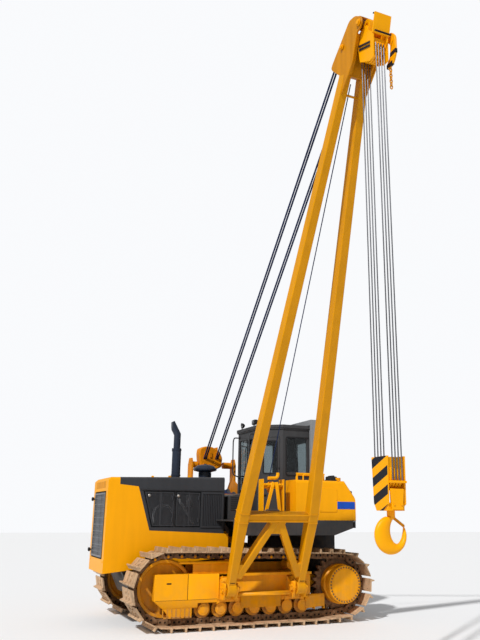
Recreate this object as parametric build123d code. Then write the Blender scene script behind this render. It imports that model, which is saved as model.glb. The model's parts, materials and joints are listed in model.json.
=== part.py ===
from build123d import *
from math import acos, atan2, cos, hypot, pi, radians, sin
import os

# Crawler pipelayer with a side boom. Millimetres. +X is forward, +Y is the boom side (left), +Z is up.
# The origin is on the ground, midway between the tracks and between idler and sprocket.

# Running clearance between pieces that turn on each other, the seat between fixed ones, one cut overrun
running_gap = 6.0
seat_gap = 0.3
overrun = 20.0

# Track: pitch, links, height of the pin line over the ground, plate and rail heights from the pin line
track_pitch = 228.6
track_links = 41
track_half_gauge = 1155.0
shoe_width = 762.0
pin_height = 135.0
plate_under = 58.0
plate_over = 76.0
rail_depth = 45.0
link_inner = 70.0
link_outer = 115.0
weld_depth = 6.0
idler_pitch_radius = 495.0
sprocket_pitch_radius = 455.0
sprocket_x = -1574.0
sprocket_z = 617.0
flat_run_rear_x = -1100.0
# share along the link and height share of the grouser, from plate to tip
shoe_shares = [(0.03, 0.0), (0.74, 0.0), (0.80, 1.0), (0.90, 1.0), (0.97, 0.0)]
rail_shares = [(0.09, 0.75), (0.2, 1.0), (0.8, 1.0), (0.91, 0.75)]
plate_edge_share = 0.03

# Wheels of the undercarriage
idler_hub_radius = 120.0
idler_web_dish = 14.0
idler_rim_depth = 60.0
idler_web = 40.0
idler_flange = 26.0
sprocket_width = 84.0
sprocket_teeth = 25
tooth_turn_shares = [0.0, 0.34, 0.56, 0.78]
tooth_rise = 26.0
tooth_drop = 34.0
hub_radius = 314.0
hub_stand = 345.0
hub_step = 24.0
roller_count = 7
roller_front_x = 978.0
roller_spacing = 298.0
roller_tread_radius = 122.0
roller_half_width = 132.0
carrier_radius = 82.0
carrier_half_width = 120.0
carrier_x = [560.0, -640.0]

# Track frame, its brackets for the boom, guards and front covers
frame_half_width = 190.0
frame_bottom = 452.0
frame_top = 800.0
frame_front_x = 1090.0
frame_rear_x = -960.0
frame_flange_top = 840.0
frame_flange_out = 60.0
fork_front_x = 1760.0
fork_inner = 126.0
fork_plate = 40.0
fork_low = 520.0
fork_high = 760.0
roller_hanger_width = 70.0
cover_rear_x = 762.0
cover_front_x = 1820.0
cover_bottom = 340.0
cover_top = 850.0
cover_fold_z = 460.0
cover_overhang = 265.0
cover_fold_in = 40.0
cover_out_y = track_half_gauge + cover_overhang
cover_seam_x = 1270.0
cover_seam = 6.0
cover_lip = 14.0
cover_nose = 150.0
rock_guard_rear_x = 1180.0
rock_guard_front_x = 1680.0
rock_guard_low = 190.0
roller_guard_front_x = 330.0
roller_guard_rear_x = -390.0
roller_guard_low = 300.0
guard_plate = 20.0
rear_guard_front_x = -860.0
rear_guard_rear_x = -1230.0
rear_guard_low = 230.0
rear_guard_high = 430.0
ledge_front_x = 450.0
ledge_low = 510.0
ledge_high = 560.0

# Boom: foot pivot, lean from plumb, length from pivot to head, leg lines and sections
boom_pivot_out = 445.0
boom_pivot_y = track_half_gauge + boom_pivot_out
boom_pivot_z = 620.0
boom_lean = 22.7
boom_length = 8530.0
leg_foot_x = 620.0
leg_head_x = 140.0
knee_along = 1225.0
leg_width = 196.0
leg_depth = 200.0
leg_wall = 12.0
foot_eye_radius = 118.0
foot_eye_width = 150.0
foot_pin_radius = 45.0
bracket_ear = 36.0
bracket_low = 455.0
bracket_reach = 92.0
crossbeam_height = 125.0
crossbeam_depth = 150.0
brace_width = 150.0
foot_width = 130.0
foot_depth = 140.0
brace_depth = 120.0
gusset_width = 300.0
gusset_drop = 260.0
gusset_foot = 170.0

# Boom head: cheek plates drawn as shares of the head's reach from the boom line and of its height
cheek_inner = 190.0
cheek_plate = 26.0
head_below = 150.0
head_height = 890.0
head_low_along = boom_length - head_below
head_high_along = head_low_along + head_height
head_reach = 900.0
cheek_shares = [(-0.99, 0.2), (-0.83, 0.06), (-0.37, 0.0), (0.11, 0.2), (0.12, 0.55), (0.4, 0.62),
                (0.43, 0.78), (0.18, 0.9), (-0.08, 1.0), (-0.39, 0.98), (-0.5, 0.92)]
hoist_sheave_radius = 262.0
hoist_sheave_n = -430.0
hoist_sheave_rise = 320.0
hoist_sheave_along = boom_length + hoist_sheave_rise
sheave_width = 34.0
head_pin_radius = 34.0
bumper_half = 140.0
bumper_plate = 24.0
bumper_reach = 212.0
bumper_lean = 80.0
bumper_top_drop = 10.0
bumper_low_drop = 300.0
bumper_rib = 18.0
tie_below = 450.0
tie_along = boom_length - tie_below
tie_radius = 22.0

# Load tackle: upper block, falls, hook block and hook, hanging plumb under the head
tackle_pivot_n = 293.0
tackle_pivot_rise = 459.0
tackle_pivot_along = boom_length + tackle_pivot_rise
fall_reach = 190.0
fall_pitch = 45.0
fall_count = 4
fall_radius = 9.0
upper_sheave_drop = 430.0
lower_sheave_z = 2255.0
block_plate = 20.0
block_half_x = 130.0
upper_block_low_drop = 700.0
# share across the plate and share of the drop, round the side plate of the upper block
upper_block_shares = [(-0.62, 0.08), (-1.17, 0.19), (-0.84, 0.8), (0.56, 1.0), (1.18, 1.0), (1.24, 0.44),
                      (0.5, 0.22),
                      (0.3, 0.08)]
block_half_y = 178.0
hook_block_top = 2480.0
hook_block_low = 1834.0
hook_block_shares = [(-1.0, 1.0), (1.0, 1.0), (0.92, 0.12), (0.3, 0.0), (-0.55, 0.0), (-0.85, 0.14)]
block_seat_share = 0.8
hook_shank_radius = 52.0
hook_thick = 96.0
hook_round = 18.0
hook_neck = 70.0
hook_centre_z = 1560.0
hook_outer = 233.0
hook_shift = -40.0
hook_throat = 95.0
throat_shift = -115.0
hook_tip_rise = 115.0
hook_nut_radius = 78.0
hook_nut_height = 50.0

# Boom hoist: swivelling block on the winch frame, its ropes up to the head, the single line on the near side
hoist_pivot_y = -1100.0
hoist_pivot_z = 2760.0
hoist_block_front_x = 360.0
hoist_block_rear_x = -190.0
hoist_block_along = 400.0
hoist_block_half = 190.0
hoist_block_plate = 28.0
hoist_block_waist_share = 0.62
hoist_eye_share = 0.7
hoist_sheave_share = 0.84
hoist_rope_places = [-146.0, -108.0, 108.0, 146.0]
hoist_rope_radius = 13.0
hoist_rope_top_gap = 60.0
load_line_radius = 9.0
lead_sheave_x = -270.0
lead_sheave_y = 1150.0
lead_sheave_z = 2250.0
lead_sheave_radius = 100.0
lead_sheave_width = 40.0
load_line_head_x = 0.0
load_line_head_below = 330.0
load_line_head_along = boom_length - load_line_head_below
load_line_head_n = -70.0

# Winch frame on the right, with two drums, and the lead frame on the left
winch_front_x = 520.0
winch_rear_x = -440.0
winch_plate = 36.0
winch_inner_y = -700.0
winch_outer_y = -1480.0
winch_low_top = 2440.0
winch_ear_half = 130.0
drum_radius = 128.0
drum_flange_radius = 172.0
drum_flange = 26.0
drum_places = [(-940.0, 2060.0), (-1290.0, 2130.0)]
lead_front_x = -90.0
lead_rear_x = -490.0
lead_inner_y = 1060.0
lead_outer_y = 1240.0
lead_plate = 24.0
lead_top = 2390.0
lead_rail_radius = 24.0
lead_rail_drop = 96.0

# Counterweight on the right, with its arms and cylinder
weight_pivot_out = 485.0
weight_pivot_y = -track_half_gauge - weight_pivot_out
weight_pivot_z = 700.0
weight_front_x = 980.0
weight_rear_x = -780.0
weight_low = 1000.0
weight_high = 1960.0
weight_slab = 400.0
weight_inner_y = weight_pivot_y
weight_outer_y = weight_inner_y - weight_slab
weight_arm_x = [640.0, -640.0]
weight_arm_width = 120.0
weight_eye_radius = 95.0
cylinder_x = 690.0
cylinder_base_y = -805.0
cylinder_base_z = 1850.0
cylinder_eye_set = 100.0
cylinder_eye_rise = 115.0
barrel_radius = 62.0
rod_radius = 34.0
barrel_share = 0.92
cylinder_pin_radius = 24.0
eye_waist_share = 1.3
eye_neck_share = 1.4
eye_root_share = 0.5
eye_play = 11.0
cylinder_eye_radius = 58.0
cylinder_eye_width = 60.0

cylinder_eye_y = weight_pivot_y - cylinder_eye_set
cylinder_eye_z = weight_high + cylinder_eye_rise

# Hood, radiator guard, doors and what stands on the hood
hood_half = 620.0
hood_front_x = 2490.0
hood_rear_x = 390.0
hood_rear_foot_x = 300.0
hood_front_top = 2380.0
hood_rear_top = 2430.0
hood_bottom_front = 820.0
hood_bottom_rear = 1060.0
hood_nose_chamfer = 50.0
hood_wall = 10.0
hood_round = 46.0
dark_front_x = 2288.0
dark_step_x = 1966.0
dark_step_z = 2233.0
dark_foot_x = 1740.0
dark_foot_z = 1504.0
dark_rear_z = 1449.0
door_low = 1560.0
door_high = 2165.0
# name, rear edge x, front edge x at the bottom and at the top
engine_doors = [("front", 1315.0, 1715.0, 1880.0), ("rear", 835.0, 1305.0, 1305.0)]
door_plate = 12.0
door_gap = 5.0
door_stand = 3.0
hinge_set = 4.0
grille_half = 470.0
grille_low = 1040.0
grille_high = 2150.0
grille_frame = 46.0
grille_plate = 26.0
grille_columns = 8
grille_rows = 9
grille_bar = 12.0
radiator_front_x = 2400.0
radiator_rear_x = 2300.0
radiator_half = 500.0
radiator_high = 2250.0
engine_front_x = 2080.0
engine_rear_x = 620.0
engine_half = 450.0
engine_high = 2180.0
exhaust_x = 1150.0
exhaust_y = 50.0
exhaust_radius = 82.0
exhaust_can_top = 2960.0
exhaust_cut_share = 0.2
exhaust_pipe_radius = 64.0
exhaust_bend_z = 3220.0
exhaust_tip_x = 1275.0
exhaust_tip_z = 3440.0
cleaner_x = 565.0
cleaner_radius = 220.0
cleaner_shoulder_share = 0.8
cleaner_seam_share = 1.5
cleaner_cap_share = 0.3
cleaner_neck_radius = 128.0
cleaner_low = 2550.0
cleaner_high = 2655.0
cleaner_rim = 34.0
cleaner_crown_share = 0.45

# Cowl, platform, cab, tank and battery box
cowl_front_x = 296.0
cowl_rear_x = -40.0
cowl_half = 600.0
cowl_top_front = 2100.0
cowl_top_rear = 2160.0
platform_top = 1690.0
platform_lip_low = 1440.0
platform_lip_rear_low = 1560.0
platform_lip_slope = 370.0
platform_plate = 24.0
platform_overhang = 345.0
platform_outer_y = track_half_gauge + platform_overhang
platform_rear_x = -1900.0
platform_front_x = -40.0
platform_lip = 30.0
platform_chamfer = 140.0
stay_x = [-1430.0, -260.0]
stay_width = 90.0
cab_floor = 1830.0
cab_front_x = -300.0
cab_bevel_share = 0.45
cab_front_half = 500.0
cab_post_x = -690.0
cab_half = 800.0
cab_rear_post_x = -1440.0
cab_rear_x = -1640.0
cab_rear_half = 600.0
cab_wall = 42.0
cab_sill = 2490.0
cab_head = 3200.0
cab_header = 170.0
cab_top = cab_head + cab_header
cab_front_sill = 2160.0
cab_post = 60.0
cab_mount_half = 560.0
side_window_front_x = -770.0
side_window_rear_x = -1190.0
rear_window_half = 480.0
glass_thick = 8.0
roof_thick = 60.0
roof_over = 34.0
roof_crown_inset = 120.0
rops_front_x = -1240.0
rops_rear_x = -1400.0
rops_inner_y = 812.0
rops_outer_y = 884.0
rops_rise = 180.0
rops_beam = 108.0
rops_top = cab_top + rops_rise
rops_beam_low = rops_top - rops_beam
door_leaf = 36.0
door_frame_share = 0.16
door_sill_share = 0.5
door_light_share = 0.04
door_pane_share = 0.05
door_head_share = 0.9
seat_x = -1080.0
lamp_spread_share = 0.7
seat_foot_share = 0.7
seat_half = 250.0
seat_low = 2230.0
seat_high = 2350.0
seat_back_high = 2900.0
seat_back = 110.0
seat_length = 480.0
console_half = 90.0
console_top = 2420.0
tank_front_x = -690.0
tank_rear_x = -1910.0
tank_inner_y = 920.0
tank_outer_y = 1350.0
tank_top = 2390.0
tank_slope_x = -1700.0
tank_slope_low = 2110.0
tank_round = 60.0
cap_x = -1590.0
cap_radius = 120.0
cap_height = 62.0
box_front_x = -640.0
box_rear_x = -1860.0
box_top = 2300.0
rail_radius = 16.0
rail_height = 110.0

# Main frame between the tracks
case_front_x = -560.0
case_rear_x = -1900.0
case_half = 560.0
case_low = 560.0
case_high = 1500.0
rail_inner_y = 400.0
rail_outer_y = 540.0
rail_low = 840.0
belly_front_x = 2150.0
belly_nose = 180.0
rail_high = 1040.0
rail_front_x = 2420.0
cross_front_x = 900.0
cross_rear_x = 620.0
cross_low = 560.0
cross_high = 760.0
rear_cross_front_x = -780.0
rear_cross_rear_x = -1060.0
belly_low = 470.0
belly_plate = 30.0
drive_radius = 300.0
drive_inner_y = 560.0
pedestal_half = 430.0
drawbar_reach = 210.0
drawbar_half = 110.0
drawbar_height = 170.0
drawbar_bore_radius = 45.0


def span(low, high):
    return (min(low, high), max(low, high))


def block(x, y, z):
    """A box from three (low, high) pairs."""
    (x0, x1), (y0, y1), (z0, z1) = span(*x), span(*y), span(*z)
    corner = (Align.MIN, Align.MIN, Align.MIN)
    return Pos(x0, y0, z0) * Box(x1 - x0, y1 - y0, z1 - z0, align=corner)


def plate_xz(points, y):
    """An outline of (x, z) points, as thick as the pair y."""
    y0, y1 = span(*y)
    face = Plane(origin=(0, y1, 0), x_dir=(1, 0, 0), z_dir=(0, -1, 0)) * Polygon(*points, align=None)
    return extrude(face, amount=y1 - y0, dir=(0, -1, 0))


def plate_yz(points, x):
    """An outline of (y, z) points, as thick as the pair x."""
    x0, x1 = span(*x)
    face = Plane(origin=(x0, 0, 0), x_dir=(0, 1, 0), z_dir=(1, 0, 0)) * Polygon(*points, align=None)
    return extrude(face, amount=x1 - x0, dir=(1, 0, 0))


def plate_xy(points, z):
    """An outline of (x, y) points, as thick as the pair z."""
    z0, z1 = span(*z)
    return extrude(Pos(0, 0, z0) * Polygon(*points, align=None), amount=z1 - z0, dir=(0, 0, 1))


def rod(start, end, radius):
    """A round bar from one point to another."""
    line = Vector(*end) - Vector(*start)
    return extrude(Plane(origin=start, z_dir=line) * Circle(radius), amount=line.length)


def ring_y(profile, x, y, z):
    """A turned piece about the Y axis through x, y, z. Profile points are (along y, radius)."""
    face = Plane(origin=(x, y, z), x_dir=(0, 1, 0), z_dir=(1, 0, 0)) * Polygon(*profile, align=None)
    return revolve(face, Axis((x, y, z), (0, 1, 0)))


def drum_y(x, y, z, radius):
    y0, y1 = span(*y)
    return rod((x, y0, z), (x, y1, z), radius)


def drum_x(x, y, z, radius):
    x0, x1 = span(*x)
    return rod((x0, y, z), (x1, y, z), radius)


def mirrored(shape):
    return mirror(shape, about=Plane.XZ)


def both_sides(shape):
    return shape + mirrored(shape)


# Track path: the pin line as straight runs and arcs, travelled rearward along the ground

def path_runs(idler_x):
    idler_z = pin_height + idler_pitch_radius
    dx, dz = flat_run_rear_x - sprocket_x, pin_height - sprocket_z
    low_angle = atan2(dz, dx) - acos(sprocket_pitch_radius / hypot(dx, dz))
    ux, uz = idler_x - sprocket_x, idler_z - sprocket_z
    high_angle = atan2(uz, ux) + acos((sprocket_pitch_radius - idler_pitch_radius) / hypot(ux, uz))
    low = (sprocket_x + sprocket_pitch_radius * cos(low_angle),
           sprocket_z + sprocket_pitch_radius * sin(low_angle))
    high = (sprocket_x + sprocket_pitch_radius * cos(high_angle),
            sprocket_z + sprocket_pitch_radius * sin(high_angle))
    front = (idler_x + idler_pitch_radius * cos(high_angle), idler_z + idler_pitch_radius * sin(high_angle))
    flat_end = (flat_run_rear_x, pin_height)
    return [
        ("line", (idler_x, pin_height), flat_end),
        ("line", flat_end, low),
        ("arc", (sprocket_x, sprocket_z), sprocket_pitch_radius, low_angle, high_angle - 2 * pi),
        ("line", high, front),
        ("arc", (idler_x, idler_z), idler_pitch_radius, high_angle, -pi / 2),
    ]


def run_length(run):
    if run[0] == "line":
        return hypot(run[2][0] - run[1][0], run[2][1] - run[1][1])
    return run[2] * abs(run[4] - run[3])


def run_point(run, along):
    share = along / run_length(run)
    if run[0] == "line":
        return tuple(a + (b - a) * share for a, b in zip(run[1], run[2]))
    angle = run[3] + (run[4] - run[3]) * share
    return (run[1][0] + run[2] * cos(angle), run[1][1] + run[2] * sin(angle))


def solve_idler_x():
    """The idler stands where the loop is exactly its links long, as its adjuster sets it."""
    low, high = 0.0, track_links * track_pitch
    while high - low > seat_gap / 1000:
        middle = (low + high) / 2
        short = sum(run_length(r) for r in path_runs(middle)) < track_links * track_pitch
        low, high = (middle, high) if short else (low, middle)
    return (low + high) / 2


idler_x = solve_idler_x()
idler_z = pin_height + idler_pitch_radius


def track_pins():
    runs = path_runs(idler_x)
    pins = []
    for index in range(track_links):
        along = (index + 1 / 2) * track_pitch
        for run in runs:
            if along <= run_length(run):
                break
            along -= run_length(run)
        pins.append(run_point(run, along))
    return pins


def link_outline(shares, low, high):
    """Points (share along, share of height) of each link, between two heights outward of the pin line."""
    pins = track_pins()
    outline = []
    for start, end in zip(pins, pins[1:] + pins[:1]):
        length = hypot(end[0] - start[0], end[1] - start[1])
        tx, tz = (end[0] - start[0]) / length, (end[1] - start[1]) / length
        for along, height in shares:
            s, h = along * length, low + (high - low) * height
            outline.append((start[0] + tx * s - tz * h, start[1] + tz * s + tx * h))
    return outline


def track(side):
    """One loop: shoe plates with grousers over two rows of link rails."""
    edge = [(plate_edge_share, 0.0), (1 - plate_edge_share, 0.0)]
    centre = side * track_half_gauge
    wide = (centre - shoe_width / 2, centre + shoe_width / 2)
    shoes = plate_xz(link_outline(shoe_shares, plate_over, pin_height), wide)
    shoes -= plate_xz(link_outline(edge, plate_under, plate_under), (wide[0] - overrun, wide[1] + overrun))
    rails = Part()
    for row in (-1, 1):
        y = (centre + row * link_inner, centre + row * link_outer)
        rail = plate_xz(link_outline(edge, plate_under + weld_depth, plate_under + weld_depth), y)
        rails += rail - plate_xz(link_outline(rail_shares, 0.0, -rail_depth), (span(*y)[0] - overrun,
                                                                             span(*y)[1] + overrun))
    return shoes + rails


def idler(side):
    """A wheel with a centre flange between the rails, on a dished web with a hub."""
    half_turn = track_pitch / idler_pitch_radius / 2
    tread = idler_pitch_radius * cos(half_turn) - rail_depth - seat_gap
    flange_half = link_inner - running_gap
    rim = tread - idler_rim_depth
    half = [(flange_half, tread + idler_flange), (flange_half, tread), (link_outer, tread), (link_outer, rim),
            (idler_web, rim - idler_web_dish), (idler_web, idler_hub_radius), (link_outer, idler_hub_radius),
            (link_outer, 0)]
    profile = half + [(-y, r) for y, r in reversed(half)]
    return ring_y(profile, idler_x, side * track_half_gauge, idler_z)


def sprocket(side):
    """Toothed rim between the rails, with the final drive's round cover outside."""
    centre = side * track_half_gauge
    shape = []
    for tooth in range(sprocket_teeth):
        for turn, radius in zip(tooth_turn_shares, (-tooth_drop, -tooth_drop, tooth_rise, tooth_rise)):
            angle = 2 * pi * (tooth + turn) / sprocket_teeth
            reach = sprocket_pitch_radius + radius
            shape.append((sprocket_x + reach * cos(angle), sprocket_z + reach * sin(angle)))
    rim = plate_xz(shape, (centre - sprocket_width / 2, centre + sprocket_width / 2))
    face = side * (track_half_gauge + hub_stand)
    inner = centre + side * sprocket_width / 2
    hub = drum_y(sprocket_x, (inner, face - side * hub_step), sprocket_z, hub_radius)
    cap = drum_y(sprocket_x, (face - side * hub_step, face), sprocket_z, hub_radius - hub_step)
    return rim + hub + cap


def rollers(side):
    """Track rollers on the lower run and carrier rollers under the upper one."""
    centre = side * track_half_gauge
    z = pin_height + rail_depth + seat_gap + roller_tread_radius
    profile = [
        (-roller_half_width, 0), (-roller_half_width, roller_tread_radius),
        (roller_half_width, roller_tread_radius), (roller_half_width, 0),
    ]
    shapes = [ring_y(profile, roller_front_x - i * roller_spacing, centre, z) for i in range(roller_count)]
    for x in carrier_x:
        share = (x - sprocket_x) / (idler_x - sprocket_x)
        low = sprocket_z + sprocket_pitch_radius
        high = idler_z + idler_pitch_radius
        top = low + (high - low) * share - rail_depth
        shapes.append(drum_y(x, (centre - carrier_half_width, centre + carrier_half_width),
                             top - carrier_radius - running_gap, carrier_radius))
    return Compound(shapes)


def carrier_axle_z(x):
    share = (x - sprocket_x) / (idler_x - sprocket_x)
    low = sprocket_z + sprocket_pitch_radius
    high = idler_z + idler_pitch_radius
    return low + (high - low) * share - rail_depth - carrier_radius - running_gap


def foot_bracket(x):
    """A clevis on the left track frame that carries one boom foot."""
    inner_y = track_half_gauge + frame_half_width - weld_depth
    shape = Part()
    for side in (-1, 1):
        near = x + side * (foot_eye_width / 2 + running_gap)
        ear = (near, near + side * bracket_ear)
        outline = [(inner_y, bracket_low), (boom_pivot_y, bracket_low),
                   (boom_pivot_y + bracket_reach, boom_pivot_z),
                   (boom_pivot_y + bracket_reach / 2, boom_pivot_z + bracket_reach),
                   (boom_pivot_y - bracket_reach, boom_pivot_z + bracket_reach), (inner_y, frame_top)]
        shape += plate_yz(outline, ear)
    half = foot_eye_width / 2 + running_gap
    web_y = (inner_y, boom_pivot_y - foot_eye_radius - running_gap)
    shape += block((x - half, x + half), web_y, (bracket_low, frame_top - overrun))
    shape += drum_x((x - half - bracket_ear, x + half + bracket_ear), boom_pivot_y, boom_pivot_z,
                    foot_pin_radius)
    return shape


def track_frame(side):
    """Box beam over the rollers with a fork for the idler, roller hangers and a top flange."""
    c = track_half_gauge
    beam = block((frame_rear_x, frame_front_x), (c - frame_half_width, c + frame_half_width),
                 (frame_bottom, frame_top))
    beam += block((frame_rear_x, frame_front_x),
                  (c - frame_half_width - frame_flange_out, c + frame_half_width + frame_flange_out),
                  (frame_top, frame_flange_top))
    for row in (-1, 1):
        y = (c + row * fork_inner, c + row * (fork_inner + fork_plate))
        beam += block((frame_front_x - overrun, fork_front_x), y, (fork_low, fork_high))
        hanger_y = (c + row * (roller_half_width + seat_gap), c + row * frame_half_width)
        for i in range(roller_count):
            x = roller_front_x - i * roller_spacing
            z = pin_height + rail_depth + seat_gap + roller_tread_radius
            beam += block((x - roller_hanger_width / 2, x + roller_hanger_width / 2), hanger_y,
                          (z - roller_hanger_width / 2, frame_bottom + weld_depth))
    for x in carrier_x:
        beam += block((x - roller_hanger_width / 2, x + roller_hanger_width / 2),
                      (c - frame_half_width, c - carrier_half_width - seat_gap),
                      (frame_flange_top - weld_depth, carrier_axle_z(x) + roller_hanger_width / 2))
    guard_y = (c + frame_half_width - weld_depth, c + frame_half_width + guard_plate)
    beam += block((roller_guard_rear_x, roller_guard_front_x), guard_y,
                  (roller_guard_low, ledge_low + weld_depth))
    for x in (rear_guard_rear_x, (rear_guard_rear_x + rear_guard_front_x) / 2,
              rear_guard_front_x - guard_plate):
        beam += block((x, x + guard_plate), (c + roller_half_width + seat_gap, guard_y[1]),
                      (rear_guard_low, rear_guard_high + guard_plate))
    beam += block((rear_guard_rear_x, frame_rear_x + overrun), (c + roller_half_width + seat_gap, guard_y[1]),
                  (rear_guard_high, rear_guard_high + guard_plate * 2))
    rear_y = (c - frame_half_width, c - sprocket_width / 2 - running_gap * 2)
    beam += block((frame_rear_x + overrun, sprocket_x + hub_radius), rear_y, (cross_low, cross_high))
    if side > 0:
        for x in (-leg_foot_x, leg_foot_x):
            beam += foot_bracket(x)
        inner_y = c + frame_half_width - weld_depth
        beam += block((-ledge_front_x - overrun, ledge_front_x + overrun), (inner_y, boom_pivot_y),
                      (ledge_low, ledge_high))
        return beam
    beam = mirrored(beam)
    inner_y = -(c + frame_half_width - weld_depth)
    for x in weight_arm_x:
        half = weight_arm_width / 2 + running_gap
        for row in (-1, 1):
            near = x + row * half
            outline = [(inner_y, bracket_low), (weight_pivot_y, weight_pivot_z - weight_eye_radius),
                       (weight_pivot_y - weight_eye_radius, weight_pivot_z),
                       (weight_pivot_y, weight_pivot_z + weight_eye_radius), (inner_y, frame_top)]
            beam += plate_yz(outline, (near, near + row * bracket_ear))
        beam += drum_x((x - half - bracket_ear, x + half + bracket_ear), weight_pivot_y, weight_pivot_z,
                       foot_pin_radius)
    return beam


def recoil_cover(side):
    """Folded front cover outside the fork, with the guards over the rollers."""
    inner = track_half_gauge + fork_inner + fork_plate + seat_gap
    low_out = cover_out_y - cover_fold_in
    outline = [(cover_rear_x, cover_bottom), (cover_front_x - cover_nose, cover_bottom),
               (cover_front_x, cover_fold_z), (cover_front_x, cover_top), (cover_rear_x, cover_top)]
    body = plate_xz(outline, (inner, cover_out_y))
    wedge = [(low_out, cover_bottom - overrun), (cover_out_y + overrun, cover_bottom - overrun),
             (cover_out_y + overrun, cover_fold_z), (cover_out_y, cover_fold_z)]
    body -= plate_yz(wedge, (cover_rear_x - overrun, cover_front_x + overrun))
    beam_out = track_half_gauge + frame_half_width + frame_flange_out + seat_gap
    body -= block((cover_rear_x - overrun, frame_front_x + seat_gap), (inner - overrun, beam_out),
                  (cover_bottom - overrun, cover_top + overrun))
    body += block((cover_rear_x - cover_lip, cover_rear_x), (beam_out, cover_out_y + cover_lip),
                  (cover_fold_z, cover_top))
    body -= block((cover_seam_x, cover_seam_x + cover_seam),
                  (cover_out_y - cover_seam, cover_out_y + overrun),
                  (cover_fold_z, cover_top + overrun))
    body += plate_xz([(rock_guard_rear_x, cover_bottom + overrun), (rock_guard_rear_x, rock_guard_low),
                      (rock_guard_front_x - cover_nose, rock_guard_low),
                      (rock_guard_front_x, cover_bottom + overrun)], (low_out - cover_fold_in, low_out))
    return body if side > 0 else mirrored(body)


def main_frame():
    """Rear case, engine rails, cross beams to the track frames, belly plate, final drives and drawbar."""
    shape = block((case_rear_x, case_front_x), (-case_half, case_half), (case_low, case_high))
    shape += both_sides(block((case_front_x - overrun, rail_front_x), (rail_inner_y, rail_outer_y),
                              (rail_low, rail_high)))
    reach = track_half_gauge - frame_half_width - seat_gap
    for front, rear in ((cross_front_x, cross_rear_x), (rear_cross_front_x, rear_cross_rear_x)):
        shape += block((rear, front), (-reach, reach), (cross_low, cross_high))
    shape += block((cross_rear_x, cross_front_x), (-rail_outer_y, rail_outer_y), (cross_high, rail_low))
    shape += block((case_front_x, belly_front_x - belly_nose), (-rail_outer_y, rail_outer_y),
                   (belly_low, belly_low + belly_plate))
    nose = [(belly_front_x - belly_nose, belly_low), (belly_front_x, rail_low),
            (belly_front_x - belly_plate, rail_low), (belly_front_x - belly_nose - belly_plate, belly_low)]
    shape += plate_xz(nose, (-rail_outer_y, rail_outer_y))
    shape += both_sides(plate_xz([(case_front_x, belly_low), nose[0], nose[1], (case_front_x, rail_low)],
                                 (rail_outer_y - belly_plate, rail_outer_y)))
    drive_end = track_half_gauge - sprocket_width / 2 - seat_gap
    shape += both_sides(drum_y(sprocket_x, (drive_inner_y, drive_end), sprocket_z, drive_radius))
    shape += block((case_rear_x + platform_lip + seat_gap, case_front_x), (-pedestal_half, pedestal_half),
                   (case_high, platform_top - platform_plate - seat_gap))
    bar = block((case_rear_x - drawbar_reach, case_rear_x), (-drawbar_half, drawbar_half),
                (case_low, case_low + drawbar_height))
    bar -= rod((case_rear_x - drawbar_reach / 2, 0, case_low - overrun),
               (case_rear_x - drawbar_reach / 2, 0, case_low + drawbar_height + overrun), drawbar_bore_radius)
    return shape + bar


# Boom, drawn upright in its own frame (x, n, along) and leaned over about the foot pivot

def lean(shape):
    return Pos(0, boom_pivot_y, boom_pivot_z) * Rot(-boom_lean, 0, 0) * shape


def lean_point(x, n, along):
    a = radians(boom_lean)
    return (x, boom_pivot_y + n * cos(a) + along * sin(a), boom_pivot_z - n * sin(a) + along * cos(a))


def box_beam(start, end, width, depth, wall):
    """A closed box section from one point to another in the boom's own frame."""
    line = Vector(*end) - Vector(*start)
    plane = Plane(origin=start, x_dir=(0, 1, 0), z_dir=line)
    outer = extrude(plane * Rectangle(depth, width), amount=line.length)
    if not wall:
        return outer
    core = extrude(plane.offset(wall) * Rectangle(depth - 2 * wall, width - 2 * wall),
                   amount=line.length - 2 * wall)
    return outer - core


def leg_x_at(along):
    share = (along - knee_along) / (boom_length - knee_along)
    return leg_foot_x + (leg_head_x - leg_foot_x) * share


def boom_leg(side):
    """Box leg from the knee to the head, and a lower part that tapers to the foot's eye."""
    x = side * leg_foot_x
    knee = (x, 0, knee_along)
    foot = foot_eye_radius + running_gap
    section = [Plane(origin=(x, 0, along)) * Rectangle(wide, deep)
               for along, wide, deep in ((foot / 2, foot_width, foot_depth),
                                         (knee_along, leg_width, leg_depth))]
    leg = loft(Sketch() + section) + box_beam(knee, (side * leg_head_x, 0, boom_length), leg_width, leg_depth,
                                              leg_wall)
    half = foot_eye_width / 2
    leg += drum_x((x - half, x + half), 0, 0, foot_eye_radius)
    return leg - drum_x((x - leg_width, x + leg_width), 0, 0, foot_pin_radius + seat_gap)


def cheek(side):
    height = head_high_along - head_low_along
    points = [(n * head_reach, head_low_along + v * height) for n, v in cheek_shares]
    x = (side * cheek_inner, side * (cheek_inner + cheek_plate))
    return plate_yz(points, x)


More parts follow.
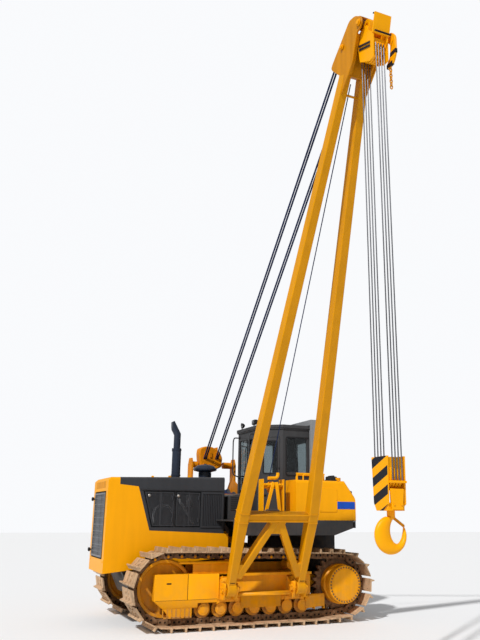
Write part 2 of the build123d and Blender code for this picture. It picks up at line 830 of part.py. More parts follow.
def boom():
    """Two legs, crossbeam and V brace at the knee, tie rod and head cheeks, welded as one."""
    shape = boom_leg(-1) + boom_leg(1)
    shape += block((-leg_foot_x, leg_foot_x), (-crossbeam_depth / 2, crossbeam_depth / 2),
                   (knee_along - crossbeam_height / 2, knee_along + crossbeam_height / 2))
    for side in (-1, 1):
        shape += box_beam((side * (leg_foot_x - leg_width / 2), 0, foot_eye_radius + bracket_reach),
                          (0, 0, knee_along), brace_width, brace_depth, 0)
    shape += plate_xz([(-gusset_width / 2, knee_along), (gusset_width / 2, knee_along),
                       (gusset_foot / 2, knee_along - gusset_drop),
                       (-gusset_foot / 2,
                                                                     knee_along - gusset_drop)],
                      (-brace_depth / 2, brace_depth / 2))
    shape += cheek(-1) + cheek(1)
    for along in (head_low_along + leg_depth, head_high_along - leg_depth):
        shape += block((-cheek_inner - weld_depth, cheek_inner + weld_depth), (-leg_depth / 2, leg_depth / 2),
                       (along - leg_width / 2, along + leg_width / 2 - leg_wall))
    shape += drum_x((-leg_x_at(tie_along), leg_x_at(tie_along)), 0, tie_along, tie_radius)
    reach = cheek_inner + cheek_plate + running_gap
    shape += drum_x((-reach, reach), tackle_pivot_n, tackle_pivot_along, head_pin_radius)
    return lean(shape)


def head_sheaves():
    """Boom-hoist sheaves between the cheeks, on one pin."""
    shape = drum_x((-cheek_inner + seat_gap, cheek_inner - seat_gap), hoist_sheave_n, hoist_sheave_along,
                   head_pin_radius)
    for x in hoist_rope_places:
        shape += drum_x((x - sheave_width / 2 + seat_gap, x + sheave_width / 2 - seat_gap), hoist_sheave_n,
                        hoist_sheave_along, hoist_sheave_radius)
    return lean(shape)


tackle_x, tackle_y, tackle_z = lean_point(0, tackle_pivot_n, tackle_pivot_along)


def fall_columns():
    return [(index - (fall_count - 1) / 2) * fall_pitch for index in range(fall_count)]


def sheave_stack(y, z, half_x):
    shape = drum_x((-half_x, half_x), y, z, head_pin_radius)
    for x in fall_columns():
        shape += drum_x((x - sheave_width / 2, x + sheave_width / 2), y, z,
                        fall_reach - fall_radius - seat_gap)
    return shape


def upper_block():
    """Load block under the head: two striped side plates round four sheaves, hung on a lug."""
    shape = Part()
    for side in (-1, 1):
        points = [(tackle_y + y * block_half_y, tackle_z - upper_block_low_drop * z) for y,
                  z in upper_block_shares]
        shape += plate_yz(points, (side * block_half_x, side * (block_half_x - block_plate)))
    shape += sheave_stack(tackle_y, tackle_z - upper_sheave_drop, block_half_x - block_plate + weld_depth)
    lug_half = block_half_y / 2
    lug = block((-block_half_x + weld_depth, block_half_x - weld_depth),
                (tackle_y - lug_half, tackle_y + lug_half),
                (tackle_z - lug_half * 2, tackle_z - lug_half))
    lug += block((-lug_half, lug_half), (tackle_y - lug_half, tackle_y + lug_half),
                 (tackle_z - lug_half, tackle_z))
    lug += drum_x((-lug_half, lug_half), tackle_y, tackle_z, lug_half)
    lug -= drum_x((-lug_half - overrun, lug_half + overrun), tackle_y, tackle_z, head_pin_radius + seat_gap)
    return shape + lug + bumper()


def bumper():
    """Stop plate on the outboard side of the load block, on two ribs."""
    low = (tackle_y + bumper_reach, tackle_z - bumper_low_drop)
    high = (low[0] + bumper_lean, tackle_z - bumper_top_drop)
    plate = plate_yz([low, (low[0] + bumper_plate, low[1]), (high[0] + bumper_plate, high[1]), high],
                     (-bumper_half, bumper_half))
    root_y, root_z = tackle_y + block_half_y / 2, tackle_z - upper_block_low_drop * upper_block_shares[2][1]
    middle = ((low[0] + high[0] + bumper_plate) / 2, (low[1] + high[1]) / 2)
    for side in (-1, 1):
        x = (side * block_half_x, side * (block_half_x - bumper_rib))
        plate += plate_yz([(root_y, root_z), (low[0] + bumper_plate / 2, low[1]), middle,
                           (root_y, root_z + bumper_low_drop / 2)], x)
    return plate


def falls():
    top = tackle_z - upper_sheave_drop
    ropes = [rod((x, tackle_y + side * fall_reach, lower_sheave_z), (x, tackle_y + side * fall_reach, top),
                 fall_radius) for x in fall_columns() for side in (-1, 1)]
    return Compound(ropes)


def hook_block():
    """Lower block: tapered side plates, sheaves, a ledge and a closed bottom for the hook's swivel."""
    shape = Part()
    height = hook_block_top - hook_block_low
    for side in (-1, 1):
        points = [(tackle_y + y * block_half_y, hook_block_low + z * height) for y, z in hook_block_shares]
        shape += plate_yz(points, (side * block_half_x, side * (block_half_x - block_plate)))
    shape += sheave_stack(tackle_y, lower_sheave_z, block_half_x - block_plate + weld_depth)
    inner = block_half_x - block_plate + weld_depth
    bottom = hook_block_low + block_plate * 2
    shape += block((-inner, inner), (tackle_y - block_half_y / 2, tackle_y + block_half_y * block_seat_share),
                   (hook_block_low, bottom + hook_shank_radius))
    return shape - rod((0, tackle_y, hook_block_low - overrun),
                       (0, tackle_y, bottom + hook_shank_radius + overrun),
                       hook_shank_radius + seat_gap)


def hook():
    """A forged C hook that opens to the rear, with rounded edges, a neck and a shank up into the block."""
    plane = Plane(origin=(0, tackle_y + hook_thick / 2, hook_centre_z), x_dir=(1, 0, 0), z_dir=(0, -1, 0))
    face = Pos(hook_shift, 0) * Circle(hook_outer) - Pos(throat_shift, 0) * Circle(hook_throat)
    far = hook_outer * 2
    inner, outer = throat_shift + hook_throat, throat_shift - hook_throat
    face -= Polygon((inner, 0), (inner, far), (outer, far), (outer, 0), align=None)
    face -= Polygon((inner, hook_tip_rise), (inner, far), (-far, far), (-far, hook_tip_rise), align=None)
    shape = extrude(plane * face, amount=hook_thick)
    sides = [e for e in shape.edges() if abs(abs(e.center().Y - tackle_y) - hook_thick / 2) < seat_gap]
    shape = chamfer(sides, hook_round)
    seat = hook_block_low + block_plate * 2 + hook_shank_radius + seat_gap
    neck_z = hook_centre_z + hook_outer - hook_neck
    shape += rod((0, tackle_y, neck_z), (0, tackle_y, seat), hook_shank_radius)
    return shape + rod((0, tackle_y, seat), (0, tackle_y, seat + hook_nut_height), hook_nut_radius)


def hoist_direction():
    end = lean_point(0, hoist_sheave_n, hoist_sheave_along)
    line = Vector(0, end[1] - hoist_pivot_y, end[2] - hoist_pivot_z)
    return line.normalized(), line.length


def hoist_block():
    """Swivelling sheave block of the boom hoist: side plates, a middle plate and sheaves on one pin."""
    line, _ = hoist_direction()
    plane = Plane(origin=(0, hoist_pivot_y, hoist_pivot_z), x_dir=(0, line.Z, -line.Y), z_dir=(1, 0, 0))
    half, far = hoist_block_half, hoist_block_along
    waist = half * hoist_block_waist_share
    # points are (across, along) from the pivot; the plate narrows to its eye
    outline = [(waist, 0), (half, far / 2), (half, far - waist), (waist, far), (-waist, far),
               (-half, far - waist),
               (-half, far / 2), (-waist, 0)]
    middle = sum(hoist_rope_places) / len(hoist_rope_places)
    shape = Part()
    for x in (hoist_block_rear_x, middle - hoist_block_plate / 2, hoist_block_front_x - hoist_block_plate):
        shape += extrude(plane.offset(x) * Polygon(*outline, align=None), amount=hoist_block_plate)
    shape += drum_x((hoist_block_rear_x, hoist_block_front_x), hoist_pivot_y, hoist_pivot_z,
                    half * hoist_eye_share)
    sheave = Vector(0, hoist_pivot_y, hoist_pivot_z) + line * (far - half)
    shape += drum_x((hoist_block_rear_x, hoist_block_front_x), sheave.Y, sheave.Z, head_pin_radius)
    for x in hoist_rope_places:
        shape += drum_x((x - sheave_width / 2, x + sheave_width / 2), sheave.Y, sheave.Z,
                        half * hoist_sheave_share)
    return shape


def hoist_ropes():
    line, length = hoist_direction()
    end = length - hoist_sheave_radius - hoist_rope_top_gap
    foot = hoist_block_along - hoist_block_half * (1 - hoist_sheave_share) + seat_gap
    ropes = []
    for x in hoist_rope_places:
        start = Vector(x, hoist_pivot_y, hoist_pivot_z) + line * foot
        stop = Vector(x, hoist_pivot_y, hoist_pivot_z) + line * end
        ropes.append(rod(start, stop, hoist_rope_radius))
    return Compound(ropes)


def load_line():
    """The single line, tangent to its lead sheave on the side of the machine."""
    head = lean_point(load_line_head_x, load_line_head_n, load_line_head_along)
    run = (Vector(0, head[1], head[2]) - Vector(0, lead_sheave_y, lead_sheave_z)).normalized()
    reach = lead_sheave_radius + load_line_radius + seat_gap
    foot = (lead_sheave_x, lead_sheave_y - run.Z * reach, lead_sheave_z + run.Y * reach)
    return rod(foot, head, load_line_radius)


def winch_frame():
    """Two side plates on the right platform with ears for the swivelling block, and a rear cross plate."""
    shape = Part()
    for x, side in ((winch_front_x, -1), (winch_rear_x, 1)):
        points = [(winch_inner_y, platform_top), (winch_outer_y, platform_top),
                  (winch_outer_y, winch_low_top - 2 * winch_ear_half),
                  (hoist_pivot_y - winch_ear_half, winch_low_top), (hoist_pivot_y - winch_ear_half,
                                                                    hoist_pivot_z),
                  (hoist_pivot_y - winch_ear_half / 2, hoist_pivot_z + winch_ear_half),
                  (hoist_pivot_y + winch_ear_half / 2, hoist_pivot_z + winch_ear_half),
                  (hoist_pivot_y + winch_ear_half, hoist_pivot_z), (hoist_pivot_y + winch_ear_half,
                                                                    winch_low_top),
                  (winch_inner_y, winch_low_top - winch_ear_half)]
        shape += plate_yz(points, (x, x + side * winch_plate))
    shape += block((winch_rear_x, winch_front_x), (winch_inner_y - winch_plate, winch_inner_y),
                   (platform_top, winch_low_top - 2 * winch_ear_half))
    pin_gap = hoist_block_front_x + seat_gap
    shape += drum_x((pin_gap, winch_front_x - winch_plate + weld_depth), hoist_pivot_y, hoist_pivot_z,
                    winch_ear_half / 2)
    shape += drum_x((winch_rear_x + winch_plate - weld_depth, hoist_block_rear_x - seat_gap), hoist_pivot_y,
                    hoist_pivot_z, winch_ear_half / 2)
    return shape


def winch_drums():
    """Two reels, each with its flanges."""
    x0, x1 = winch_rear_x + winch_plate + seat_gap, winch_front_x - winch_plate - seat_gap
    reels = []
    for y, z in drum_places:
        reel = drum_x((x0, x1), y, z, drum_radius)
        for near, far in ((x0, x0 + drum_flange), (x1 - drum_flange, x1)):
            reel += drum_x((near, far), y, z, drum_flange_radius)
        reels.append(reel)
    return Compound(reels)


def lead_frame():
    """Two uprights with a top rail on the left platform, which lead the single line down to its winch."""
    shape = Part()
    for x in (lead_front_x, lead_rear_x):
        shape += block((x, x - lead_plate), (lead_inner_y, lead_outer_y), (platform_top, lead_top))
    shape += block((lead_rear_x - lead_plate, lead_front_x), (lead_inner_y, lead_outer_y),
                   (platform_top, platform_top + lead_plate))
    shape += drum_x((lead_rear_x - lead_plate, lead_front_x), lead_outer_y - lead_rail_radius,
                    lead_top - lead_rail_drop, lead_rail_radius)
    shape += drum_x((lead_rear_x - lead_plate, lead_front_x), lead_sheave_y, lead_sheave_z, lead_rail_radius)
    shape += drum_x((lead_sheave_x - lead_sheave_width / 2, lead_sheave_x + lead_sheave_width / 2),
                    lead_sheave_y,
                    lead_sheave_z, lead_sheave_radius)
    return shape


def counterweight():
    """Slab weight on two arms that swing out about the right track frame's brackets."""
    shape = block((weight_rear_x, weight_front_x), (weight_inner_y, weight_outer_y),
                  (weight_low, weight_high))
    for x in weight_arm_x:
        half = weight_arm_width / 2
        shape += block((x - half, x + half),
                       (weight_pivot_y - weight_eye_radius, weight_pivot_y + weight_eye_radius),
                       (weight_pivot_z, weight_low + weld_depth))
        shape += drum_x((x - half, x + half), weight_pivot_y, weight_pivot_z, weight_eye_radius)
        shape -= drum_x((x - half - overrun, x + half + overrun), weight_pivot_y, weight_pivot_z,
                        foot_pin_radius + seat_gap)
    return shape


def weight_links():
    """The counterweight's cylinder: a plain barrel on the platform side and a rod to the slab."""
    base = Vector(cylinder_x, cylinder_base_y, cylinder_base_z)
    eye = Vector(cylinder_x, cylinder_eye_y, cylinder_eye_z)
    line = (eye - base).normalized()
    length = (eye - base).length
    half = cylinder_eye_width / 2
    barrel_end = base + line * (length * barrel_share - cylinder_eye_radius)
    barrel = rod(base + line * (cylinder_eye_radius * eye_waist_share), barrel_end, barrel_radius)
    barrel += rod(base, base + line * (cylinder_eye_radius * eye_neck_share), half)
    bore_start = base + line * (cylinder_eye_radius * 2)
    barrel -= rod(bore_start, (barrel_end + line * overrun), rod_radius + seat_gap)
    barrel += drum_x((cylinder_x - half, cylinder_x + half), base.Y, base.Z, cylinder_eye_radius)
    barrel -= drum_x((cylinder_x - half - overrun, cylinder_x + half + overrun), base.Y, base.Z,
                     cylinder_pin_radius + seat_gap)
    piston = rod((bore_start + line * running_gap), (eye - line * cylinder_eye_radius * eye_root_share),
                 rod_radius)
    piston += drum_x((cylinder_x - half, cylinder_x + half), eye.Y, eye.Z, cylinder_eye_radius)
    piston -= drum_x((cylinder_x - half - overrun, cylinder_x + half + overrun), eye.Y, eye.Z,
                     cylinder_pin_radius + eye_play)
    return barrel, piston


def ear_pair(outline, y, z):
    """Two ears of one outline at a cylinder's place, with the pin through them."""
    shape = Part()
    half = cylinder_eye_width / 2 + running_gap
    for side in (-1, 1):
        near = cylinder_x + side * half
        shape += plate_yz(outline, (near, near + side * lead_plate))
    return shape + drum_x((cylinder_x - half - lead_plate, cylinder_x + half + lead_plate), y, z,
                          cylinder_pin_radius)


def weight_ears():
    """The lug on top of the slab that holds the rod's eye."""
    y, z, r = cylinder_eye_y, cylinder_eye_z, cylinder_eye_radius
    low = weight_high - weld_depth
    outline = [(y + r, low), (y + r, z), (y + r / 2, z + r), (y - r / 2, z + r), (y - r, z), (y - 3 * r, low)]
    return ear_pair(outline, y, z)


def base_ears():
    """The ears on the winch frame's cross plate that hold the barrel's eye."""
    y, z, r = cylinder_base_y, cylinder_base_z, cylinder_eye_radius
    foot_y = winch_inner_y - winch_plate / 2
    outline = [(foot_y, z - 2 * r), (y, z - r), (y - r, z), (y, z + r), (foot_y, z - weld_depth)]
    return ear_pair(outline, y, z)


# Hood and front

def hood_top_at(x):
    share = (hood_front_x - x) / (hood_front_x - hood_rear_x)
    return hood_front_top + (hood_rear_top - hood_front_top) * share


def hood_shape(inset):
    """The hood's closed outline, drawn in by an inset, with round top edges."""
    top = -inset
    points = [(hood_front_x - inset, hood_bottom_front - overrun * bool(inset)),
              (hood_front_x - inset, hood_front_top - hood_nose_chamfer + top),
              (hood_front_x - hood_nose_chamfer - inset / 2, hood_front_top + top),
              (hood_rear_x - overrun * bool(inset), hood_top_at(hood_rear_x) + top),
              (hood_rear_x - overrun * bool(inset), dark_rear_z),
              (hood_rear_foot_x - overrun * bool(inset), dark_rear_z - inset / 2),
              (hood_rear_foot_x - overrun * bool(inset), hood_bottom_rear - overrun * bool(inset))]
    half = hood_half - inset
    body = plate_xz(points, (-half, half))
    tops = [e for e in body.edges() if abs(abs(e.center().Y) - half) < seat_gap
            and e.center().Z > hood_front_top - hood_nose_chamfer / 2 + top and e.length > hood_front_x / 2]
    return fillet(tops, hood_round - inset)


def dark_region(grow):
    """Prism that takes the dark upper part of the hood."""
    far = hood_rear_top + overrun
    points = [(dark_front_x + grow, far), (dark_front_x + grow, dark_step_z + hood_wall * 3),
              (dark_step_x + grow, dark_step_z), (dark_foot_x + grow, dark_foot_z),
              (hood_rear_foot_x - overrun * 2, dark_rear_z - grow), (hood_rear_foot_x - overrun * 2, far)]
    return plate_xz(points, (-hood_half - overrun, hood_half + overrun))


def door_outline(x0, x1_low, x1_high, inset):
    return [(x0 + inset, door_low + inset), (x1_low - inset, door_low + inset),
            (x1_high - inset, door_high - inset), (x0 + inset, door_high - inset)]


def hood_parts():
    """Dark upper hood with its door openings, yellow front and lower sides."""
    shell = hood_shape(0) - hood_shape(hood_wall)
    dark = shell & dark_region(0)
    yellow = shell - dark_region(seat_gap)
    reach = (hood_half - hood_wall - overrun, hood_half + overrun)
    for _, x0, low, high in engine_doors:
        dark -= both_sides(plate_xz(door_outline(x0, low, high, 0), reach))
    yellow -= block((hood_front_x - hood_wall - overrun, hood_front_x + overrun), (-grille_half, grille_half),
                    (grille_low, grille_high))
    rear = dark_rear_z + hood_wall * 2
    dark += plate_xz([(hood_rear_x, rear), (hood_rear_x + hood_wall, rear),
                      (hood_rear_x + hood_wall, hood_rear_top - hood_round), (hood_rear_x,
                                                                              hood_rear_top - hood_round)],
                     (-hood_half + hood_wall / 2, hood_half - hood_wall / 2))
    return dark, yellow


def engine_door(name, side):
    _, x0, low, high = [row for row in engine_doors if row[0] == name][0]
    outline = door_outline(x0, low, high, door_gap)
    y = (side * (hood_half - door_plate + door_stand), side * (hood_half + door_stand))
    hinge = (x0 + door_gap, side * (hood_half + door_stand - hinge_set))
    return plate_xz(outline, y) + hinge_rod(hinge, door_low + door_gap, door_high - door_gap)


def hinge_rod(place, low, high):
    """An upright hinge rod, seated against the edge of the opening beside it."""
    return rod((place[0], place[1], low), (place[0], place[1], high), door_gap - seat_gap)


def grille_door():
    """Hinged radiator grille: a frame with crossing bars."""
    x = (hood_front_x - grille_plate + door_stand, hood_front_x + door_stand)
    half, low, high = grille_half - door_gap, grille_low + door_gap, grille_high - door_gap
    shape = block(x, (-half, half), (low, high))
    wide = 2 * (half - grille_frame)
    tall = high - low - 2 * grille_frame
    for column in range(grille_columns):
        for row in range(grille_rows):
            y = -half + grille_frame + wide * column / grille_columns + grille_bar / 2
            z = low + grille_frame + tall * row / grille_rows + grille_bar / 2
            shape -= block((x[0] - overrun, x[1] + overrun), (y, y + wide / grille_columns - grille_bar),
                           (z, z + tall / grille_rows - grille_bar))
    return shape + hinge_rod((hood_front_x + door_stand - hinge_set, -half), low, high)


def radiator():
    return block((radiator_rear_x, radiator_front_x), (-radiator_half, radiator_half),
                 (rail_high + seat_gap, radiator_high))


def engine():
    return block((engine_rear_x, engine_front_x), (-engine_half, engine_half),
                 (rail_high + seat_gap, engine_high))


def exhaust():
    base = (exhaust_x, exhaust_y, hood_top_at(exhaust_x - exhaust_radius) + seat_gap)
    can_top = (exhaust_x, exhaust_y, exhaust_can_top)
    shape = rod(base, can_top, exhaust_radius)
    bend = (exhaust_x, exhaust_y, exhaust_bend_z)
    shape += rod(can_top, bend, exhaust_pipe_radius)
    tip = (exhaust_tip_x, exhaust_y, exhaust_tip_z)
    shape += rod(bend, tip, exhaust_pipe_radius)
    shape += Pos(*bend) * Sphere(exhaust_pipe_radius)
    cut_x = exhaust_tip_x - exhaust_pipe_radius * exhaust_cut_share
    shape -= block((cut_x, cut_x + 2 * exhaust_radius),
                   (exhaust_y - exhaust_radius, exhaust_y + exhaust_radius),
                   (exhaust_bend_z, exhaust_tip_z + 2 * exhaust_radius))
    return shape


def pre_cleaner():
    base = hood_top_at(cleaner_x - cleaner_neck_radius) + seat_gap
    crown = cleaner_high + (cleaner_high - cleaner_low) * cleaner_crown_share
    seam = cleaner_low + cleaner_rim * cleaner_seam_share
    profile = [(0, base), (cleaner_neck_radius, base), (cleaner_neck_radius, cleaner_low),
               (cleaner_radius, cleaner_low + cleaner_rim / 2), (cleaner_radius, seam),
               (cleaner_radius * cleaner_shoulder_share, cleaner_high),
               (cleaner_radius * cleaner_cap_share, crown),
               (0, crown)]
    face = Plane(origin=(cleaner_x, 0, 0), x_dir=(1, 0, 0), z_dir=(0, -1, 0)) * Polygon(*profile, align=None)
    return revolve(face, Axis((cleaner_x, 0, 0), (0, 0, 1)))


def cowl():
    points = [(cowl_rear_x, platform_top + seat_gap), (cowl_front_x, platform_top + seat_gap),
              (cowl_front_x, cowl_top_front), (cowl_rear_x, cowl_top_rear)]
    return plate_xz(points, (-cowl_half, cowl_half))


def platform():
    """Floor plate with folded lips, slanting stays to the main frame and chamfered rear corners."""
    outline = [(platform_front_x, platform_outer_y), (platform_rear_x + platform_chamfer, platform_outer_y),
               (platform_rear_x, platform_outer_y - platform_chamfer)]
    outline += [(x, -y) for x, y in reversed(outline)]
    shape = plate_xy(outline, (platform_top - platform_plate, platform_top))
    shape += block((platform_front_x, winch_front_x + overrun), (cowl_half + overrun, platform_outer_y),
                   (platform_top - platform_plate, platform_top))
    shape += mirrored(block((platform_front_x, winch_front_x + overrun + cylinder_x - winch_front_x),
                            (cowl_half + overrun, platform_outer_y), (platform_top - platform_plate,
                                                                      platform_top)))
    shape += block((platform_front_x, cowl_front_x), (-cowl_half - overrun, cowl_half + overrun),
                   (platform_top - platform_plate, platform_top))
    rear, front = platform_rear_x + platform_chamfer, winch_front_x + overrun
    lip = plate_xz([(rear, platform_top), (rear, platform_lip_rear_low),
                    (rear + platform_lip_slope, platform_lip_low), (front, platform_lip_low), (front,
                                                                                               platform_top)],
                   (platform_outer_y - platform_lip, platform_outer_y))
    shape += both_sides(lip)
    shape += block((platform_rear_x, platform_rear_x + platform_lip),
                   (-platform_outer_y + platform_chamfer, platform_outer_y - platform_chamfer),
                   (platform_lip_rear_low, platform_top))
    under = platform_top - platform_plate + weld_depth
    stay_end = platform_outer_y - platform_chamfer * 2
    stay = plate_yz([(case_half + seat_gap, case_high), (case_half + seat_gap, case_high - platform_chamfer),
                     (stay_end, under), (stay_end - platform_chamfer * 2, under)], (0, stay_width))
    for x in stay_x:
        shape += both_sides(Pos(x, 0, 0) * stay)
    return shape


def cab_outline(inset):
    """The cab's plan as (x, y): narrow front, slanting doors, wide middle, narrower rear."""
    k = inset * cab_bevel_share
    half = [(cab_front_x - inset, cab_front_half - k), (cab_post_x - k / 2, cab_half - inset),
            (cab_rear_post_x + k / 2, cab_half - inset), (cab_rear_x + inset, cab_rear_half - k / 2)]
    return half + [(x, -y) for x, y in reversed(half)]


def door_frame():
    """The slanting left door wall: its start, unit vectors along and out of it, and its length."""
    dx, dy = cab_post_x - cab_front_x, cab_half - cab_front_half
    length = hypot(dx, dy)
    along = (dx / length, dy / length)
    return (cab_front_x, cab_front_half), along, (along[1], -along[0]), length


def door_block(s, out, z):
    """A block on the left door wall: s along it, out of it, and z."""
    (x, y), along, normal, _ = door_frame()
    corners = [(s[0], out[0]), (s[1], out[0]), (s[1], out[1]), (s[0], out[1])]
    points = [(x + along[0] * a + normal[0] * b, y + along[1] * a + normal[1] * b) for a, b in corners]
    return plate_xy(points, z)


def cab_shell():
    """Hollow cab: floor, walls and posts, open at both doors, the front, the sides and the rear."""
    shape = plate_xy(cab_outline(0), (cab_floor, cab_top)) - plate_xy(cab_outline(cab_wall),
                                                                     (cab_floor + cab_wall,
                                                                      cab_top + overrun))
    front_half = cab_front_half - cab_post
    shape -= block((cab_front_x - cab_wall - overrun, cab_front_x + overrun), (-front_half, front_half),
                   (cab_front_sill, cab_head))
    side = block((side_window_rear_x, side_window_front_x),
                 (cab_half - cab_wall - overrun, cab_half + overrun),
                 (cab_sill + cab_post, cab_head))
    shape -= both_sides(side)
    shape -= block((cab_rear_x - overrun, cab_rear_x + cab_wall + overrun),
                   (-rear_window_half, rear_window_half),
                   (cab_sill, cab_head))
    length = door_frame()[3]
    depth = (-cab_wall - cab_post, overrun)
    shape -= door_block((cab_post, length - cab_post), depth, (cab_floor + cab_wall, cab_head))
    shape -= mirrored(door_block((cab_post, length - cab_post), depth, (cab_sill, cab_head)))
    base = block((cab_rear_x + cab_wall, cab_front_x - cab_wall), (-cab_mount_half, cab_mount_half),
                 (platform_top + seat_gap, cab_floor))
    return shape + base


def cab_door():
    """Door leaf in the slanting wall with its window cut and a bar handle."""
    length = door_frame()[3]
    s = (cab_post + door_gap, length - cab_post - door_gap)
    low, high = cab_floor + cab_wall + door_gap, cab_head - door_gap
    leaf = door_block(s, (-door_leaf, 0), (low, high))
    rim = (s[1] - s[0]) * door_frame_share
    window = door_block((s[0] + rim, s[1] - rim), (-door_leaf - overrun, overrun),
                        (low + (high - low) * door_sill_share,
                         low + (high - low) * (door_head_share + door_light_share)))
    pane = door_block((s[0] + rim / 2, s[1] - rim / 2),
                      (-door_leaf / 2 - glass_thick / 2, -door_leaf / 2 + glass_thick / 2),
                      (low + (high - low) * door_sill_share - rim / 2,
                       low + (high - low) * (door_head_share + door_pane_share)))
    (x, y), along, normal, _ = door_frame()
    hinge = (x + along[0] * s[0] - normal[0] * hinge_set, y + along[1] * s[0] - normal[1] * hinge_set)
    return leaf - window + hinge_rod(hinge, low, high), pane & window


def cab_glass():
    """Fixed panes, each seated in the middle of its wall."""
    front_half = cab_front_half - cab_post - seat_gap
    mid = cab_wall / 2
    panes = [block((cab_front_x - mid - glass_thick, cab_front_x - mid), (-front_half, front_half),
                   (cab_front_sill + seat_gap, cab_head - seat_gap)),
             block((cab_rear_x + mid, cab_rear_x + mid + glass_thick),
                   (-rear_window_half + seat_gap, rear_window_half - seat_gap), (cab_sill + seat_gap,
                                                                                 cab_head - seat_gap))]
    for side in (-1, 1):
        panes.append(block((side_window_rear_x + seat_gap, side_window_front_x - seat_gap),
                           (side * (cab_half - mid), side * (cab_half - mid - glass_thick)),
                           (cab_sill + cab_post + seat_gap, cab_head - seat_gap)))
    length = door_frame()[3]
    panes.append(mirrored(door_block((cab_post + seat_gap, length - cab_post - seat_gap),
                                     (-mid - glass_thick, -mid),
                                     (cab_sill + seat_gap, cab_head - seat_gap))))
    return Compound(panes)


def cab_roof():
    """Roof slab with a raised middle, a little wider than the walls."""
    slab = plate_xy(cab_outline(-roof_over), (cab_top + seat_gap, cab_top + roof_thick))
    crown = plate_xy(cab_outline(roof_crown_inset), (cab_top + roof_thick, rops_beam_low - seat_gap))
    return slab + crown


def rops():
    """Roll-over bow: two posts outside the cab and a deep beam over the roof."""
    shape = both_sides(block((rops_rear_x, rops_front_x), (rops_inner_y, rops_outer_y),
                             (platform_top, rops_top)))
    notch = block((rops_rear_x - overrun, rops_front_x + overrun),
                  (-cab_half - roof_over - seat_gap, cab_half + roof_over + seat_gap),
                  (cab_top - overrun, rops_beam_low))
    shape -= notch
    return shape + block((rops_rear_x, rops_front_x), (-rops_outer_y, rops_outer_y),
                         (rops_beam_low, rops_top))


def seat():
    floor = cab_floor + cab_wall + seat_gap
    foot_half = seat_half * seat_foot_share
    shape = block((seat_x - seat_length / 3, seat_x + seat_length / 3), (-foot_half, foot_half), (floor, seat_low))
    shape += block((seat_x - seat_length / 2, seat_x + seat_length / 2), (-seat_half, seat_half),
                   (seat_low, seat_high))
    shape += block((seat_x - seat_length / 2, seat_x - seat_length / 2 + seat_back), (-seat_half, seat_half),
                   (seat_high, seat_back_high))
    return shape


def consoles():
    floor = cab_floor + cab_wall + seat_gap
    y0 = seat_half + running_gap * 3
    shape = both_sides(block((seat_x - seat_length / 2, seat_x + seat_length / 2),
                             (y0, y0 + 2 * console_half), (floor, console_top)))
    return Compound([s for s in shape.solids()])


def tank_body(front, rear, top, slope_x, slope_low, inner, outer):
    points = [(front, platform_top + seat_gap), (front, top), (slope_x, top), (rear, slope_low),
              (rear, platform_top + seat_gap)]
    body = plate_xz(points, (inner, outer))
    tops = [e for e in body.edges()
            if abs(e.center().Y - outer) < seat_gap and e.center().Z > slope_low + overrun]
    return fillet(tops, tank_round)


def tank_left():
    """Side tank with a sloping rear top, a filler cap and a grab rail."""
    body = tank_body(tank_front_x, tank_rear_x, tank_top, tank_slope_x, tank_slope_low, tank_inner_y,
                     tank_outer_y)
    middle = (tank_inner_y + tank_outer_y) / 2
    body += rod((cap_x, middle, tank_top - weld_depth), (cap_x, middle, tank_top + cap_height), cap_radius)
    y = tank_outer_y - tank_round - rail_radius
    x0, x1 = tank_front_x - tank_round, cap_x + cap_radius + tank_round * 3
    top = tank_top + rail_height
    body += rod((x0, y, tank_top - weld_depth), (x0, y, top), rail_radius)
    body += rod((x1, y, tank_top - weld_depth), (x1, y, top), rail_radius)
    body += rod((x1 - rail_radius, y, top), (x0 + rail_radius, y, top), rail_radius)
    return body


def box_right():
    return mirrored(tank_body(box_front_x, box_rear_x, box_top, tank_slope_x, tank_slope_low, tank_inner_y,
                              tank_outer_y))


def lamps():
    """Two work lamps on the roof's front edge."""
    shapes = []
    for side in (-1, 1):
        y = side * cab_front_half * lamp_spread_share
        z = cab_top + roof_thick + seat_gap
        x = cab_front_x - running_gap
        shapes.append(block((x - cap_height, x), (y - cap_height, y + cap_height), (z, z + cap_radius)))
    return Compound(shapes)


barrel, piston = weight_links()
hood_dark, hood_yellow = hood_parts()
door, door_pane = cab_door()
main = main_frame()
weight = counterweight() + weight_ears()
winch = winch_frame() + block((winch_front_x - winch_plate, cylinder_x + cylinder_eye_width + overrun * 2),
                              (winch_inner_y - winch_plate, winch_inner_y), (platform_top, cylinder_base_z))
winch += base_ears()

parts = {
    "track_left": track(1), "track_right": track(-1),
    "track_frame_left": track_frame(1), "track_frame_right": track_frame(-1),
    "idler_left": idler(1), "idler_right": idler(-1),
    "sprocket_left": sprocket(1), "sprocket_right": sprocket(-1),
    "rollers_left": rollers(1), "rollers_right": rollers(-1),
    "front_cover_left": recoil_cover(1), "front_cover_right": recoil_cover(-1),
    "main_frame": main, "engine": engine(), "radiator": radiator(),
    "hood_dark": hood_dark, "hood_yellow": hood_yellow, "grille_door": grille_door(),
    "exhaust": exhaust(), "pre_cleaner": pre_cleaner(), "cowl": cowl(), "platform": platform(),
    "cab_shell": cab_shell(), "cab_glass": cab_glass(), "cab_roof": cab_roof(), "rops": rops(),
    "cab_door": door, "cab_door_pane": door_pane,
    "seat": seat(), "consoles": consoles(), "lamps": lamps(),
    "fuel_tank": tank_left(), "side_box_right": box_right(),
    "winch_frame": winch, "winch_drums": winch_drums(), "lead_frame": lead_frame(),
    "hoist_block": hoist_block(), "hoist_ropes": hoist_ropes(), "load_line": load_line(),
    "boom": boom(), "head_sheaves": head_sheaves(),
    "upper_block": upper_block(), "falls": falls(), "hook_block": hook_block(), "hook": hook(),
    "counterweight": weight, "weight_barrel": barrel, "weight_rod": piston,
}
